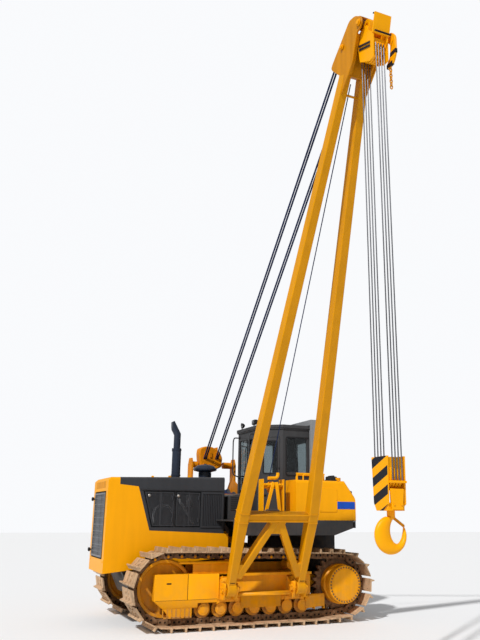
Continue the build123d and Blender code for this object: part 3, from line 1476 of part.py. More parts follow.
for name in ("front", "rear"):
    parts["engine_door_" + name + "_left"] = engine_door(name, 1)
    parts["engine_door_" + name + "_right"] = engine_door(name, -1)

os.makedirs("parts", exist_ok=True)
for name, shape in parts.items():
    export_step(shape, "parts/" + name + ".step")
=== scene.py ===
import json
import bmesh
import bpy
import numpy as np
from mathutils import Matrix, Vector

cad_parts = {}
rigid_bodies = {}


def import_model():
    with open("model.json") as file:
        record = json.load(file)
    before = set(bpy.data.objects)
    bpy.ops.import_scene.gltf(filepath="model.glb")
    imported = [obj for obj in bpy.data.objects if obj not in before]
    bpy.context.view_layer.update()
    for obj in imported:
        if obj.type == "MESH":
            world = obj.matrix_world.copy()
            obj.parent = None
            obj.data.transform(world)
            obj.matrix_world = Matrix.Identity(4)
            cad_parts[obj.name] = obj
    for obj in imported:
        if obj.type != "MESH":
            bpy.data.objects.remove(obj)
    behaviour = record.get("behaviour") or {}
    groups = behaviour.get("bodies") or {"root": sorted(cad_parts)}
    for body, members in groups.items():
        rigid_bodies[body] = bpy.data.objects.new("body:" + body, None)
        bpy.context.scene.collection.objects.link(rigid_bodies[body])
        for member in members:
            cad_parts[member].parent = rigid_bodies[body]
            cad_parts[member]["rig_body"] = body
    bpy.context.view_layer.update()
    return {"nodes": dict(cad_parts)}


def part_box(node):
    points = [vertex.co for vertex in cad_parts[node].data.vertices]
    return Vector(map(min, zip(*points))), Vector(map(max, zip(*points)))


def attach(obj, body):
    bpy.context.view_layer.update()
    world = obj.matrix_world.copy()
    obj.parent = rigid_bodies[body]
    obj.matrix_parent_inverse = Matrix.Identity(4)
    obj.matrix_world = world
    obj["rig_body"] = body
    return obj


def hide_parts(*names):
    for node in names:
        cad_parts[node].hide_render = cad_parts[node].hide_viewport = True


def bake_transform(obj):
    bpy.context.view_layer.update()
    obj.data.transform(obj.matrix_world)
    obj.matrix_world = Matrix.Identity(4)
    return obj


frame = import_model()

nodes = frame["nodes"]
print("stage: frame loaded", len(nodes), "nodes")

# Shapes are pairs: points, and a list of face arrays. All lengths are metres in the row frame.


def unit(v):
    # Each vector divided by its length
    v = np.asarray(v, float)
    return v / np.linalg.norm(v, axis=-1, keepdims=True)


def shell(rings, caps=True, loop=False):
    # A skin over rings of points: quads between neighbours, one flat face at each open end
    n, m = rings.shape[:2]
    i, j = np.arange(n if loop else n - 1)[:, None], np.arange(m)[None, :]
    k = (j + 1) % m
    faces = [np.stack([i * m + j, i * m + k, (i + 1) % n * m + k, (i + 1) % n * m + j], -1).reshape(-1, 4)]
    if caps and not loop:
        faces += [np.arange(m)[None, ::-1], (n - 1) * m + np.arange(m)[None, :]]
    return rings.reshape(-1, 3), faces


def join(*shapes):
    # Shapes one after the other, each face list shifted by the points before it
    points, faces, base = [], [], 0
    for p, f in shapes:
        points.append(p)
        faces += [x + base for x in f]
        base += len(p)
    return np.concatenate(points), faces


def placed(origin, x=(1, 0, 0), y=(0, 1, 0), z=(0, 0, 1)):
    # A 4 x 4 place from an origin and three axes
    m = np.eye(4)
    m[:3, 0], m[:3, 1], m[:3, 2], m[:3, 3] = x, y, z, origin
    return m


def facing(direction):
    # Two axes square to a direction
    d = unit(direction)
    a = unit(np.cross(d, (0, 0, 1) if abs(d[2]) < 0.9 else (1, 0, 0)))
    return a, np.cross(d, a), d


def copies(shape, places):
    # The shape once at each place, as one array product
    p, f = shape
    m = np.asarray(places).reshape(-1, 4, 4)
    out = np.einsum("kij,nj->kni", m[:, :3, :3], p) + m[:, None, :3, 3]
    shift = (np.arange(len(m)) * len(p))[:, None, None]
    return out.reshape(-1, 3), [(x[None] + shift).reshape(-1, x.shape[1]) for x in f]


def drawnIn(outline, amount):
    # Each side of a closed outline moved inward, corners mitred
    o = np.asarray(outline, float)
    e = unit(np.roll(o, -1, 0) - o)
    turn = np.sign(np.sum(o[:, 0] * np.roll(o[:, 1], -1) - o[:, 1] * np.roll(o[:, 0], -1)))
    n = np.stack([-e[:, 1], e[:, 0]], 1) * turn
    before = np.roll(n, 1, 0)
    return o + (n + before) / (1 + np.sum(n * before, 1))[:, None] * amount


def softened(outline, radius, steps=4):
    # Corners of a closed outline replaced by short quadratic curves
    o = np.asarray(outline, float)
    back, ahead = np.roll(o, 1, 0) - o, np.roll(o, -1, 0) - o
    r = np.minimum(radius, 0.45 * np.minimum(np.linalg.norm(back, axis=1), np.linalg.norm(ahead, axis=1)))[:, None]
    a, c = o + unit(back) * r, o + unit(ahead) * r
    t = np.linspace(0, 1, steps)[:, None, None]
    return ((1 - t) ** 2 * a + 2 * t * (1 - t) * o + t ** 2 * c).transpose(1, 0, 2).reshape(-1, 2)


def rectangle(x0, y0, x1, y1):
    # Corners of an upright rectangle, counter-clockwise
    return [(x0, y0), (x1, y0), (x1, y1), (x0, y1)]


lay = {"xz": (0, 2, 1), "yz": (1, 2, 0), "xy": (0, 1, 2)}


def plate(outline, plane, low, high, edge=0.003):
    # An outline given thickness, with its rims drawn in by the edge
    a, b, c = lay[plane]
    rings = []
    for inset, at in ((edge, low), (0, low + edge), (0, high - edge), (edge, high)):
        ring = np.zeros((len(outline), 3))
        ring[:, (a, b)] = drawnIn(outline, inset)
        ring[:, c] = at
        rings.append(ring)
    return shell(np.array(rings))


def brick(low, high, edge=0.004):
    # A box between two corners with its rims drawn in
    (x0, y0, z0), (x1, y1, z1) = low, high
    return plate(rectangle(x0, y0, x1, y1), "xy", z0, z1, edge)


def beam(start, end, width, depth, up=(0, 0, 1), edge=0.004):
    # A rectangle with cut corners carried from one point to another
    d = unit(np.subtract(end, start))
    side = unit(np.cross(d, up))
    top = np.cross(side, d)
    w, h = width / 2, depth / 2
    outline = softened(rectangle(-w, -h, w, h), edge, 2)
    rings = []
    for inset, at in ((edge / 2, start), (0, np.add(start, d * edge)), (0, np.subtract(end, d * edge)),
                      (edge / 2, end)):
        q = drawnIn(outline, inset)
        rings.append(np.asarray(at) + q[:, :1] * side + q[:, 1:] * top)
    return shell(np.array(rings))


def turned(profile, origin, axis, sides=32):
    # A profile of (along, radius) spun about an axis
    x, y, z = facing(axis)
    a = np.linspace(0, 2 * np.pi, sides, endpoint=False)
    p = np.asarray(profile, float)
    r = np.maximum(p[:, 1], 1e-4)[:, None, None]
    ring = np.cos(a)[None, :, None] * x + np.sin(a)[None, :, None] * y
    return shell(np.asarray(origin) + p[:, 0][:, None, None] * z + r * ring)


def disc(radius, low, high, origin, axis, sides=32):
    # A plain cylinder from low to high along its axis
    return turned([(low, 0.0), (low, radius), (high, radius), (high, 0.0)], origin, axis, sides)


def rounded(points, radius, steps=6):
    # An open path with its inner corners rounded by quadratic curves
    p = np.asarray(points, float)
    out = [p[:1]]
    t = np.linspace(0, 1, steps)[:, None]
    for a, b, c in zip(p[:-2], p[1:-1], p[2:]):
        r = min(radius, 0.45 * np.linalg.norm(a - b), 0.45 * np.linalg.norm(c - b))
        u, v = b + unit(a - b) * r, b + unit(c - b) * r
        out.append((1 - t) ** 2 * u + 2 * t * (1 - t) * b + t ** 2 * v)
    return np.concatenate(out + [p[-1:]])


def pathFrames(path):
    # Directions along a path and a side direction turned as little as possible
    d = unit(np.gradient(path, axis=0))
    side = np.empty_like(d)
    side[0] = facing(d[0])[0]
    for i in range(1, len(d)):
        s = side[i - 1] - d[i] * np.dot(side[i - 1], d[i])
        side[i] = unit(s)
    return side, np.cross(d, side)


def pipe(points, radius, sides=12, bend=0.0, steps=6):
    # A circle carried along a path, with bent corners where a bend radius is given
    path = rounded(points, bend, steps) if bend else np.asarray(points, float)
    s, u = pathFrames(path)
    a = np.linspace(0, 2 * np.pi, sides, endpoint=False)[None, :, None]
    r = np.broadcast_to(np.asarray(radius, float), (len(path),))[:, None, None]
    return shell(path[:, None] + r * (np.cos(a) * s[:, None] + np.sin(a) * u[:, None]))


def rope(start, end, radius, pitch, strands=6, perTurn=12):
    # A lobed circle that turns as it goes: radius falls between strands, one full turn a pitch
    line = np.subtract(end, start)
    length = np.linalg.norm(line)
    x, y, z = facing(line)
    count = max(3, int(length / pitch * perTurn))
    along = np.linspace(0, length, count)[:, None]
    around = np.linspace(0, 2 * np.pi, strands * 2, endpoint=False)[None, :]
    r = radius * np.where(np.arange(strands * 2) % 2, 0.88, 1.0)[None, :]
    a = around + along / pitch * 2 * np.pi
    ring = r[..., None] * (np.cos(a)[..., None] * x + np.sin(a)[..., None] * y)
    return shell(np.asarray(start) + along[..., None] * z + ring)


boltHead = {"washer": 1.35, "washerShare": 0.22, "topShare": 0.86}


def bolts(points, direction, radius, height, sides=6):
    # Hexagon heads on washers, all facing one way
    v = boltHead
    profile = [(-0.002, v["washer"] * radius), (v["washerShare"] * height, v["washer"] * radius),
               (v["washerShare"] * height, radius), (height * 0.88, radius), (height, radius * v["topShare"])]
    head = turned(profile, (0, 0, 0), (0, 0, 1), sides)
    x, y, z = facing(direction)
    return copies(head, [placed(p, x, y, z) for p in np.asarray(points, float).reshape(-1, 3)])


def ringPoints(centre, radius, count, axis, start=0.0):
    # Points at equal angles on a circle square to an axis
    x, y, _ = facing(axis)
    a = start + np.arange(count) * 2 * np.pi / count
    return np.asarray(centre) + radius * (np.cos(a)[:, None] * x + np.sin(a)[:, None] * y)


def mirrorY(shape):
    # The shape on the other side of the machine, faces reversed to stay outward
    p, f = shape
    return p * (1, -1, 1), [x[:, ::-1] for x in f]


def onSide(shape, side):
    # A shape drawn on the left, mirrored for the right
    return shape if side > 0 else mirrorY(shape)


def piece(name, shape, material, body="tractor", hides=(), smooth=32.0, bevel=0.0):
    # One finished object at the origin: doubles merged, faces turned outward
    mesh = bpy.data.meshes.new(name)
    points, faces = shape
    mesh.from_pydata(points.tolist(), [], [f for group in faces for f in group.tolist()])
    tidy = bmesh.new()
    tidy.from_mesh(mesh)
    bmesh.ops.remove_doubles(tidy, verts=tidy.verts, dist=2e-5)
    bmesh.ops.recalc_face_normals(tidy, faces=tidy.faces)
    tidy.to_mesh(mesh)
    tidy.free()
    mesh.shade_smooth()
    mesh.set_sharp_from_angle(angle=np.radians(smooth))
    thing = bpy.data.objects.new(name, mesh)
    bpy.context.scene.collection.objects.link(thing)
    mesh.materials.append(material)
    if bevel:
        addBevel(thing, bevel)
    if body:
        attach(thing, body)
    if hides:
        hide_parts(*hides)
    return thing


def addBevel(thing, width, segments=2):
    # Edges sharper than the angle limit are eased by the width
    cut = thing.modifiers.new("edges", "BEVEL")
    cut.width, cut.segments, cut.limit_method = width, segments, "ANGLE"
    cut.angle_limit, cut.harden_normals, cut.use_clamp_overlap = np.radians(38), False, True


def dressed(node, material, bevel=0.005, smooth=32.0, flat=True, side=None):
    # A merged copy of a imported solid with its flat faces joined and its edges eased, in place of the solid
    source = nodes[node]
    mesh = source.data.copy()
    tidy = bmesh.new()
    tidy.from_mesh(mesh)
    bmesh.ops.remove_doubles(tidy, verts=tidy.verts, dist=1e-5)
    if flat:
        bmesh.ops.dissolve_limit(tidy, angle_limit=np.radians(1.0), verts=tidy.verts, edges=tidy.edges)
    tidy.to_mesh(mesh)
    tidy.free()
    mesh.shade_smooth()
    mesh.set_sharp_from_angle(angle=np.radians(smooth))
    thing = bpy.data.objects.new(node + ".dressed", mesh)
    bpy.context.scene.collection.objects.link(thing)
    mesh.materials.clear()
    mesh.materials.append(material)
    if side:
        mesh.materials.append(side)
        for face in mesh.polygons:
            face.material_index = int(abs(face.normal.x) > 0.9 and abs(face.center.x) > 0.12)
    if bevel:
        addBevel(thing, bevel)
    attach(thing, source["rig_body"])
    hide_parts(node)
    return thing


# Materials

def newGroup(name, inputs, outputs):
    # A node group with its sockets; the group keeps a start value where one is given
    g = bpy.data.node_groups.new(name, "ShaderNodeTree")
    for title, kind, start in inputs:
        s = g.interface.new_socket(name=title, in_out="INPUT", socket_type=kind)
        if start is not None:
            s.default_value = start
    for title, kind in outputs:
        g.interface.new_socket(name=title, in_out="OUTPUT", socket_type=kind)
    return g, g.nodes.new("NodeGroupInput"), g.nodes.new("NodeGroupOutput")


def put(tree, kind, links=None, **values):
    # A node with its values set and its sockets joined
    n = tree.nodes.new(kind)
    for key, value in values.items():
        setattr(n, key, value)
    for key, source in (links or {}).items():
        tree.links.new(source, n.inputs[key])
    return n


def math(tree, what, a, b=None, clamp=False):
    # One math node; numbers go in as values and sockets as links
    n = tree.nodes.new("ShaderNodeMath")
    n.operation, n.use_clamp = what, clamp
    for slot, value in ((0, a), (1, b)):
        if value is None:
            continue
        if isinstance(value, (int, float)):
            n.inputs[slot].default_value = value
        else:
            tree.links.new(value, n.inputs[slot])
    return n.outputs[0]


def remap(tree, value, low, high, to=(0.0, 1.0)):
    # A smooth step from one range to another
    n = put(tree, "ShaderNodeMapRange", {"Value": value}, interpolation_type="SMOOTHSTEP")
    for key, v in zip(("From Min", "From Max", "To Min", "To Max"), (low, high) + tuple(to)):
        n.inputs[key].default_value = v
    return n.outputs[0]


def noise(tree, vector, scale, detail=4.0, rough=0.55):
    # Noise at a scale in object space
    n = put(tree, "ShaderNodeTexNoise", {"Vector": vector})
    n.inputs["Scale"].default_value, n.inputs["Detail"].default_value = scale, detail
    n.inputs["Roughness"].default_value = rough
    return n.outputs["Fac"]


def buildWeathering():
    # Tone drifts in broad clouds, dust gathers low down and on upward faces, chips are rare specks
    g, i, o = newGroup("weathering", [
        ("Vector", "NodeSocketVector", None), ("Dust Height", "NodeSocketFloat", 1.2),
        ("Dust", "NodeSocketFloat", 0.5), ("Chips", "NodeSocketFloat", 0.3), ("Grain", "NodeSocketFloat", 60.0)],
        [("Tone", "NodeSocketFloat"), ("Dust", "NodeSocketFloat"), ("Chips", "NodeSocketFloat"),
         ("Height", "NodeSocketFloat")])
    v = i.outputs["Vector"]
    broad, middle = noise(g, v, 1.3), noise(g, v, 9.0, 5.0)
    stretch = put(g, "ShaderNodeVectorMath", {0: v}, operation="MULTIPLY")
    stretch.inputs[1].default_value = (11.0, 11.0, 0.8)
    streak = noise(g, stretch.outputs[0], 1.0, 3.0)
    tone = math(g, "ADD", math(g, "MULTIPLY", broad, 0.5), math(g, "MULTIPLY", streak, 0.5))
    g.links.new(remap(g, tone, 0.3, 0.7), o.inputs["Tone"])
    split = put(g, "ShaderNodeSeparateXYZ", {0: v})
    low = math(g, "DIVIDE", split.outputs["Z"], i.outputs["Dust Height"])
    low = math(g, "SUBTRACT", 1.0, low, True)
    up = put(g, "ShaderNodeSeparateXYZ", {0: put(g, "ShaderNodeNewGeometry").outputs["Normal"]})
    upward = remap(g, up.outputs["Z"], 0.55, 1.0)
    gather = math(g, "ADD", low, math(g, "MULTIPLY", upward, 0.45))
    gather = math(g, "MULTIPLY", gather, remap(g, math(g, "ADD", middle, math(g, "MULTIPLY", streak, 0.3)), 0.45,
                                               0.85))
    g.links.new(math(g, "MULTIPLY", gather, i.outputs["Dust"], True), o.inputs["Dust"])
    speck = noise(g, v, 34.0, 6.0, 0.7)
    edge = math(g, "SUBTRACT", 0.78, math(g, "MULTIPLY", i.outputs["Chips"], 0.12))
    chip = math(g, "GREATER_THAN", speck, edge)
    g.links.new(chip, o.inputs["Chips"])
    fine = put(g, "ShaderNodeTexNoise", {"Vector": v, "Scale": i.outputs["Grain"]})
    fine.inputs["Detail"].default_value = 3.0
    rise = math(g, "SUBTRACT", fine.outputs["Fac"], math(g, "MULTIPLY", chip, 0.6))
    g.links.new(rise, o.inputs["Height"])
    return g


def buildStripes():
    # Diagonal bands: a sum of two coordinates is wrapped and cut at half
    g, i, o = newGroup("stripes", [("Vector", "NodeSocketVector", None), ("Width", "NodeSocketFloat", 0.12),
                                   ("Slope", "NodeSocketFloat", 1.0), ("Shift", "NodeSocketFloat", 0.0)],
                       [("Band", "NodeSocketFloat")])
    s = put(g, "ShaderNodeSeparateXYZ", {0: i.outputs["Vector"]})
    d = math(g, "SUBTRACT", s.outputs["Z"], math(g, "MULTIPLY", s.outputs["Y"], i.outputs["Slope"]))
    d = math(g, "DIVIDE", math(g, "ADD", d, i.outputs["Shift"]), i.outputs["Width"])
    g.links.new(math(g, "LESS_THAN", math(g, "FLOORED_MODULO", d, 1.0), 0.5), o.inputs["Band"])
    return g


weathering = buildWeathering()


def paint(name, colour, look):
    # Coat of paint: tone shifts the colour a little, dust lays earth over it, chips show primer
    v = {"rough": 0.38, "metal": 0.0, "tone": 0.12, "dustHeight": 1.2, "dust": 0.5, "chips": 0.3, "grain": 90.0,
         "bump": 0.0006, "earth": (0.34, 0.19, 0.08), "under": (0.16, 0.09, 0.05), "coat": 0.0, "shine": 0.16,
         "dustRough": 0.85}
    v.update(look)
    m = bpy.data.materials.new(name)
    m.use_nodes = True
    t = m.node_tree
    shader = t.nodes["Principled BSDF"]
    where = put(t, "ShaderNodeTexCoord").outputs["Object"]
    w = t.nodes.new("ShaderNodeGroup")
    w.node_tree = weathering
    t.links.new(where, w.inputs["Vector"])
    for key, value in (("Dust Height", "dustHeight"), ("Dust", "dust"), ("Chips", "chips"), ("Grain", "grain")):
        w.inputs[key].default_value = v[value]
    shade = np.array(colour)
    toned = mix(t, w.outputs["Tone"], shade * (1 - v["tone"]), np.minimum(1.0, shade * (1 + v["tone"] * 0.6)))
    chipped = mix(t, w.outputs["Chips"], toned, v["under"]) if v["chips"] else toned
    dusty = mix(t, w.outputs["Dust"], chipped, v["earth"])
    t.links.new(dusty, shader.inputs["Base Color"])
    rough = put(t, "ShaderNodeMapRange", {"Value": w.outputs["Dust"]})
    rough.inputs["To Min"].default_value, rough.inputs["To Max"].default_value = v["rough"], v["dustRough"]
    t.links.new(rough.outputs[0], shader.inputs["Roughness"])
    bump = put(t, "ShaderNodeBump", {"Height": w.outputs["Height"]})
    bump.inputs["Distance"].default_value, bump.inputs["Strength"].default_value = v["bump"], 1.0
    t.links.new(bump.outputs[0], shader.inputs["Normal"])
    shader.inputs["Metallic"].default_value = v["metal"]
    shader.inputs["Specular IOR Level"].default_value = v["shine"]
    shader.inputs["Coat Weight"].default_value = v["coat"]
    shader.inputs["Coat Roughness"].default_value = 0.2
    return m


def mix(tree, factor, a, b):
    # Colour a at factor 0 and colour b at factor 1; each is a socket or a plain colour
    n = tree.nodes.new("ShaderNodeMix")
    n.data_type = "RGBA"
    for socket, value in ((n.inputs[6], a), (n.inputs[7], b)):
        if isinstance(value, bpy.types.NodeSocket):
            tree.links.new(value, socket)
        else:
            socket.default_value = tuple(float(c) for c in value) + (1.0,)
    if isinstance(factor, bpy.types.NodeSocket):
        tree.links.new(factor, n.inputs[0])
    else:
        n.inputs[0].default_value = factor
    return n.outputs[2]


yellow = (0.90, 0.375, 0.0)
paints = {
    "machineYellow": (yellow, {"dustHeight": 1.0, "dust": 0.25, "chips": 0.15, "tone": 0.05}),
    # The boom's yellow is the machine yellow darkened to a shaded tone: painted shade.
    "boomShadeYellow": ((0.66, 0.275, 0.0), {"dustHeight": 1.2, "dust": 0.25, "chips": 0.3, "tone": 0.1}),
    "wheelYellow": ((0.70, 0.275, 0.003),
                    {"dustHeight": 1.0, "dust": 0.9, "chips": 0.6, "tone": 0.25, "rough": 0.5}),
    "frameYellow": ((0.84, 0.335, 0.0), {"dustHeight": 1.0, "dust": 0.5, "chips": 0.4, "tone": 0.15}),
    "hoodGrey": ((0.040, 0.042, 0.047), {"rough": 0.33, "dustHeight": 1.0, "dust": 0.3, "chips": 0.0}),
    "cabGrey": ((0.050, 0.050, 0.052), {"rough": 0.36, "dustHeight": 1.9, "dust": 0.25, "chips": 0.0}),
    "deckBlack": ((0.028, 0.028, 0.03), {"rough": 0.45, "dustHeight": 1.9, "dust": 0.35, "chips": 0.2}),
    "postGrey": ((0.25, 0.26, 0.27), {"rough": 0.42, "dust": 0.2, "chips": 0.1}),
    "pipeBlue": ((0.018, 0.026, 0.045), {"rough": 0.3, "dust": 0.1, "chips": 0.2, "coat": 0.3}),
    "shoeEarth": ((0.5, 0.33, 0.19),
                  {"rough": 0.62, "metal": 0.25, "tone": 0.45, "dustHeight": 1.9, "dust": 1.0, "chips": 1.4,
                   "earth": (0.62, 0.42, 0.26), "under": (0.2, 0.11, 0.06), "bump": 0.003, "coat": 0.0,
                   "grain": 40.0}),
    "chainEarth": ((0.17, 0.09, 0.045),
                   {"rough": 0.6, "metal": 0.3, "tone": 0.5, "dustHeight": 1.9, "dust": 0.9, "chips": 1.0,
                    "earth": (0.33, 0.2, 0.11), "bump": 0.002, "coat": 0.0}),
    # Near-black inside holes, slots and behind the grille bars stands for the shade there: painted shade. On seam
    # and fold lines it is the dark of the joints.
    "holeShadeAndSeams": ((0.012, 0.01, 0.009), {"rough": 0.9, "dust": 0.1, "chips": 0.0, "coat": 0.0}),
    "castGrey": ((0.1, 0.1, 0.105), {"rough": 0.6, "metal": 0.5, "dust": 0.3, "bump": 0.002, "coat": 0.0}),
    "boltSteel": ((0.42, 0.4, 0.37), {"rough": 0.38, "metal": 0.9, "dust": 0.3, "chips": 0.0, "coat": 0.0}),
    "hoistRope": ((0.016, 0.028, 0.085), {"rough": 0.75, "metal": 0.0, "tone": 0.3, "dust": 0.0, "chips": 0.0}),
    "loadRope": ((0.2, 0.205, 0.22), {"rough": 0.36, "metal": 0.85, "tone": 0.35, "dust": 0.0, "chips": 0.0}),
    "greaseBlue": ((0.03, 0.045, 0.09), {"rough": 0.34, "metal": 0.6, "tone": 0.4, "dust": 0.0, "chips": 0.0}),
    "rubber": ((0.02, 0.02, 0.021), {"rough": 0.75, "dust": 0.2, "chips": 0.0, "coat": 0.0}),
    "seatCloth": ((0.03, 0.031, 0.036),
                  {"rough": 0.9, "dust": 0.1, "chips": 0.0, "coat": 0.0, "grain": 900.0, "bump": 0.001}),
    "consoleBlack": ((0.03, 0.03, 0.032), {"rough": 0.55, "dust": 0.1, "chips": 0.0, "grain": 500.0}),
    # The boom head's orange is the machine yellow darkened to its shaded tone: painted shade.
    "headShadeOrange": ((0.56, 0.215, 0.0), {"chips": 0.4, "tone": 0.2, "dust": 0.1}),
    # The hoist housing's orange is the machine yellow darkened to an orange-brown shaded tone: painted shade. The
    # winch frame takes it too.
    "hoistShadeOrange": ((0.68, 0.225, 0.0), {"dustHeight": 1.0, "chips": 0.6, "tone": 0.3, "rough": 0.5}),
    # The grey for the brace and filters behind the hood mesh is lighter than their own grey, standing for light
    # inside the hood: painted light.
    "insideGreyPaintedLight": ((0.30, 0.30, 0.31), {"rough": 0.5, "dust": 0.2, "chips": 0.0}),
    "grilleGrey": ((0.17, 0.175, 0.185), {"rough": 0.4, "dust": 0.3, "chips": 0.0}),
    "bandBlack": ((0.012, 0.014, 0.02), {"rough": 0.4, "dust": 0.15, "chips": 0.2}),
    "bandBlue": ((0.01, 0.07, 0.42), {"rough": 0.3, "dust": 0.2, "chips": 0.0}),
    "chrome": ((0.6, 0.6, 0.6), {"rough": 0.12, "metal": 1.0, "dust": 0.1, "chips": 0.0, "coat": 0.0}),
}
looks = {name: paint(name, colour, look) for name, (colour, look) in paints.items()}


def withGroup(name, base, group, values):
    # A copy of a paint with a group node fed by object coordinates
    m = looks[base].copy()
    m.name = name
    t = m.node_tree
    where = [n for n in t.nodes if n.bl_idname == "ShaderNodeTexCoord"][0].outputs["Object"]
    g = t.nodes.new("ShaderNodeGroup")
    g.node_tree = group
    t.links.new(where, g.inputs["Vector"])
    for key, value in values.items():
        g.inputs[key].default_value = value
    return m, t, t.nodes["Principled BSDF"], g.outputs


def striped(name, values):
    # Yellow paint with black diagonal bands along Z against Y
    m, t, shader, out = withGroup(name, "machineYellow", stripeGroup, values)
    old = shader.inputs["Base Color"].links[0].from_socket
    t.links.new(mix(t, out["Band"], old, bandTone), shader.inputs["Base Color"])
    return m


bandTone = (0.012, 0.014, 0.02)
stripeGroup = buildStripes()


def glassLook(name, colour, rough):
    # Tinted glass whose smears add to the roughness
    m = bpy.data.materials.new(name)
    m.use_nodes = True
    t = m.node_tree
    shader = t.nodes["Principled BSDF"]
    where = put(t, "ShaderNodeTexCoord").outputs["Object"]
    smear = remap(t, noise(t, where, 6.0, 5.0), 0.4, 0.8, (rough, rough + 0.12))
    t.links.new(smear, shader.inputs["Roughness"])
    shader.inputs["Base Color"].default_value = colour + (1.0,)
    shader.inputs["Transmission Weight"].default_value = 1.0
    shader.inputs["IOR"].default_value = 1.45
    return m


def buildHoles():
    # Square wire grid: each coordinate is wrapped to its cell and the middle share of both is open
    g, i, o = newGroup("wireGrid", [("Vector", "NodeSocketVector", None), ("Pitch", "NodeSocketFloat", 0.012),
                                    ("Open", "NodeSocketFloat", 0.6)], [("Solid", "NodeSocketFloat")])
    s = put(g, "ShaderNodeSeparateXYZ", {0: i.outputs["Vector"]})
    inside = []
    for axis in ("X", "Z"):
        cell = math(g, "FLOORED_MODULO", math(g, "DIVIDE", s.outputs[axis], i.outputs["Pitch"]), 1.0)
        inside.append(math(g, "LESS_THAN", cell, i.outputs["Open"]))
    g.links.new(math(g, "SUBTRACT", 1.0, math(g, "MULTIPLY", inside[0], inside[1])), o.inputs["Solid"])
    return g


def meshLook(name, base, pitch, share):
    # A paint with the grid's gaps let through
    m, t, shader, out = withGroup(name, base, holeGroup, {"Pitch": pitch, "Open": share})
    t.links.new(out["Solid"], shader.inputs["Alpha"])
    return m


holeGroup = buildHoles()
looks["wireMesh"] = meshLook("wireMesh", "hoodGrey", 0.014, 0.66)
looks["tintedGlass"] = glassLook("tintedGlass", (0.62, 0.7, 0.72), 0.02)
looks["lampGlass"] = glassLook("lampGlass", (0.92, 0.92, 0.9), 0.1)
looks["hookStripes"] = striped("hookStripes", {"Width": 0.225, "Slope": 0.42, "Shift": 0.06})
looks["headStripes"] = striped("headStripes", {"Width": 0.22, "Slope": 0.5, "Shift": 0.0})
print("stage: materials", len(looks))


# Tracks: the pin line is a closed path of straights and arcs, cut into equal links

trackValues = {
    "links": 41, "pitch": 0.2286, "gauge": 1.155, "pinLow": 0.135, "flatRear": -1.1,
    "sprocket": (-1.574, 0.617, 0.455), "idlerRadius": 0.495, "shoeHalf": 0.381,
    "shoe": [(0.006, 0.059), (0.2235, 0.059), (0.2265, 0.067), (0.2165, 0.082), (0.2095, 0.131), (0.205, 0.135),
             (0.191, 0.135), (0.187, 0.131), (0.180, 0.084), (0.168, 0.077), (0.022, 0.077), (0.004, 0.070)],
    "link": [(0.010, 0.024), (0.018, 0.050), (0.040, 0.060), (0.188, 0.060), (0.211, 0.050), (0.2186, 0.024),
             (0.214, -0.024), (0.188, -0.0445), (0.041, -0.0445), (0.015, -0.024)], "rail": (0.070, 0.115),
    "boss": (0.037, 0.070, 0.004, 0.005, 14), "pin": (0.022, 0.081, 0.003, 0.004, 10), "bossFrom": 0.055,
    "cup": [(0.0, 0.029), (0.006, 0.027), (0.006, 0.020), (-0.004, 0.019), (-0.004, 0.0)],
    "bushing": (0.029, 0.06), "hole": [(-0.003, 0.0), (-0.003, 0.0193), (0.0005, 0.0193), (0.0005, 0.0)],
    "nut": (0.116, -0.012, 0.019, 0.016), "window": [(0.074, 0.014), (0.154, 0.014)],
    "boltSpots": [(0.055, 0.0925), (0.132, 0.0925)], "boltRadius": 0.0155, "boltHeight": 0.014,
}


def pinLine(v, idlerX):
    # Arcs round sprocket and idler joined by their tangents, points at equal steps of length
    sx, sz, sr = v["sprocket"]
    iz, ir = v["pinLow"] + v["idlerRadius"], v["idlerRadius"]
    dx, dz = v["flatRear"] - sx, v["pinLow"] - sz
    low = np.arctan2(dz, dx) - np.arccos(sr / np.hypot(dx, dz))
    ux, uz = idlerX - sx, iz - sz
    high = np.arctan2(uz, ux) + np.arccos((sr - ir) / np.hypot(ux, uz))
    fine = np.linspace(0, 1, 400)
    a, b = low + (high - 2 * np.pi - low) * fine, high + (-np.pi / 2 - high) * fine
    line = np.concatenate([
        [(idlerX, v["pinLow"]), (v["flatRear"], v["pinLow"])],
        np.stack([sx + sr * np.cos(a), sz + sr * np.sin(a)], 1),
        np.stack([idlerX + ir * np.cos(b), iz + ir * np.sin(b)], 1)])
    gone = np.concatenate([[0], np.cumsum(np.linalg.norm(np.diff(line, axis=0), axis=1))])
    at = (np.arange(v["links"]) + 0.5) * gone[-1] / v["links"]
    return np.stack([np.interp(at, gone, line[:, 0]), np.interp(at, gone, line[:, 1])], 1)


def trackPlaces(v, side):
    # One place a link: x along the link, y across the machine, z outward from the loop
    low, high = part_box("idler_left")
    pins = pinLine(v, (low.x + high.x) / 2)
    ahead = np.roll(pins, -1, 0)
    t = unit(ahead - pins)
    stretch = np.linalg.norm(ahead - pins, axis=1) / v["pitch"]
    m = np.zeros((len(pins), 4, 4))
    m[:, 0, 0], m[:, 2, 0] = t[:, 0] * stretch, t[:, 1] * stretch
    m[:, 1, 1] = 1
    m[:, 0, 2], m[:, 2, 2] = -t[:, 1], t[:, 0]
    m[:, 0, 3], m[:, 1, 3], m[:, 2, 3], m[:, 3, 3] = pins[:, 0], side * v["gauge"], pins[:, 1], 1
    return m


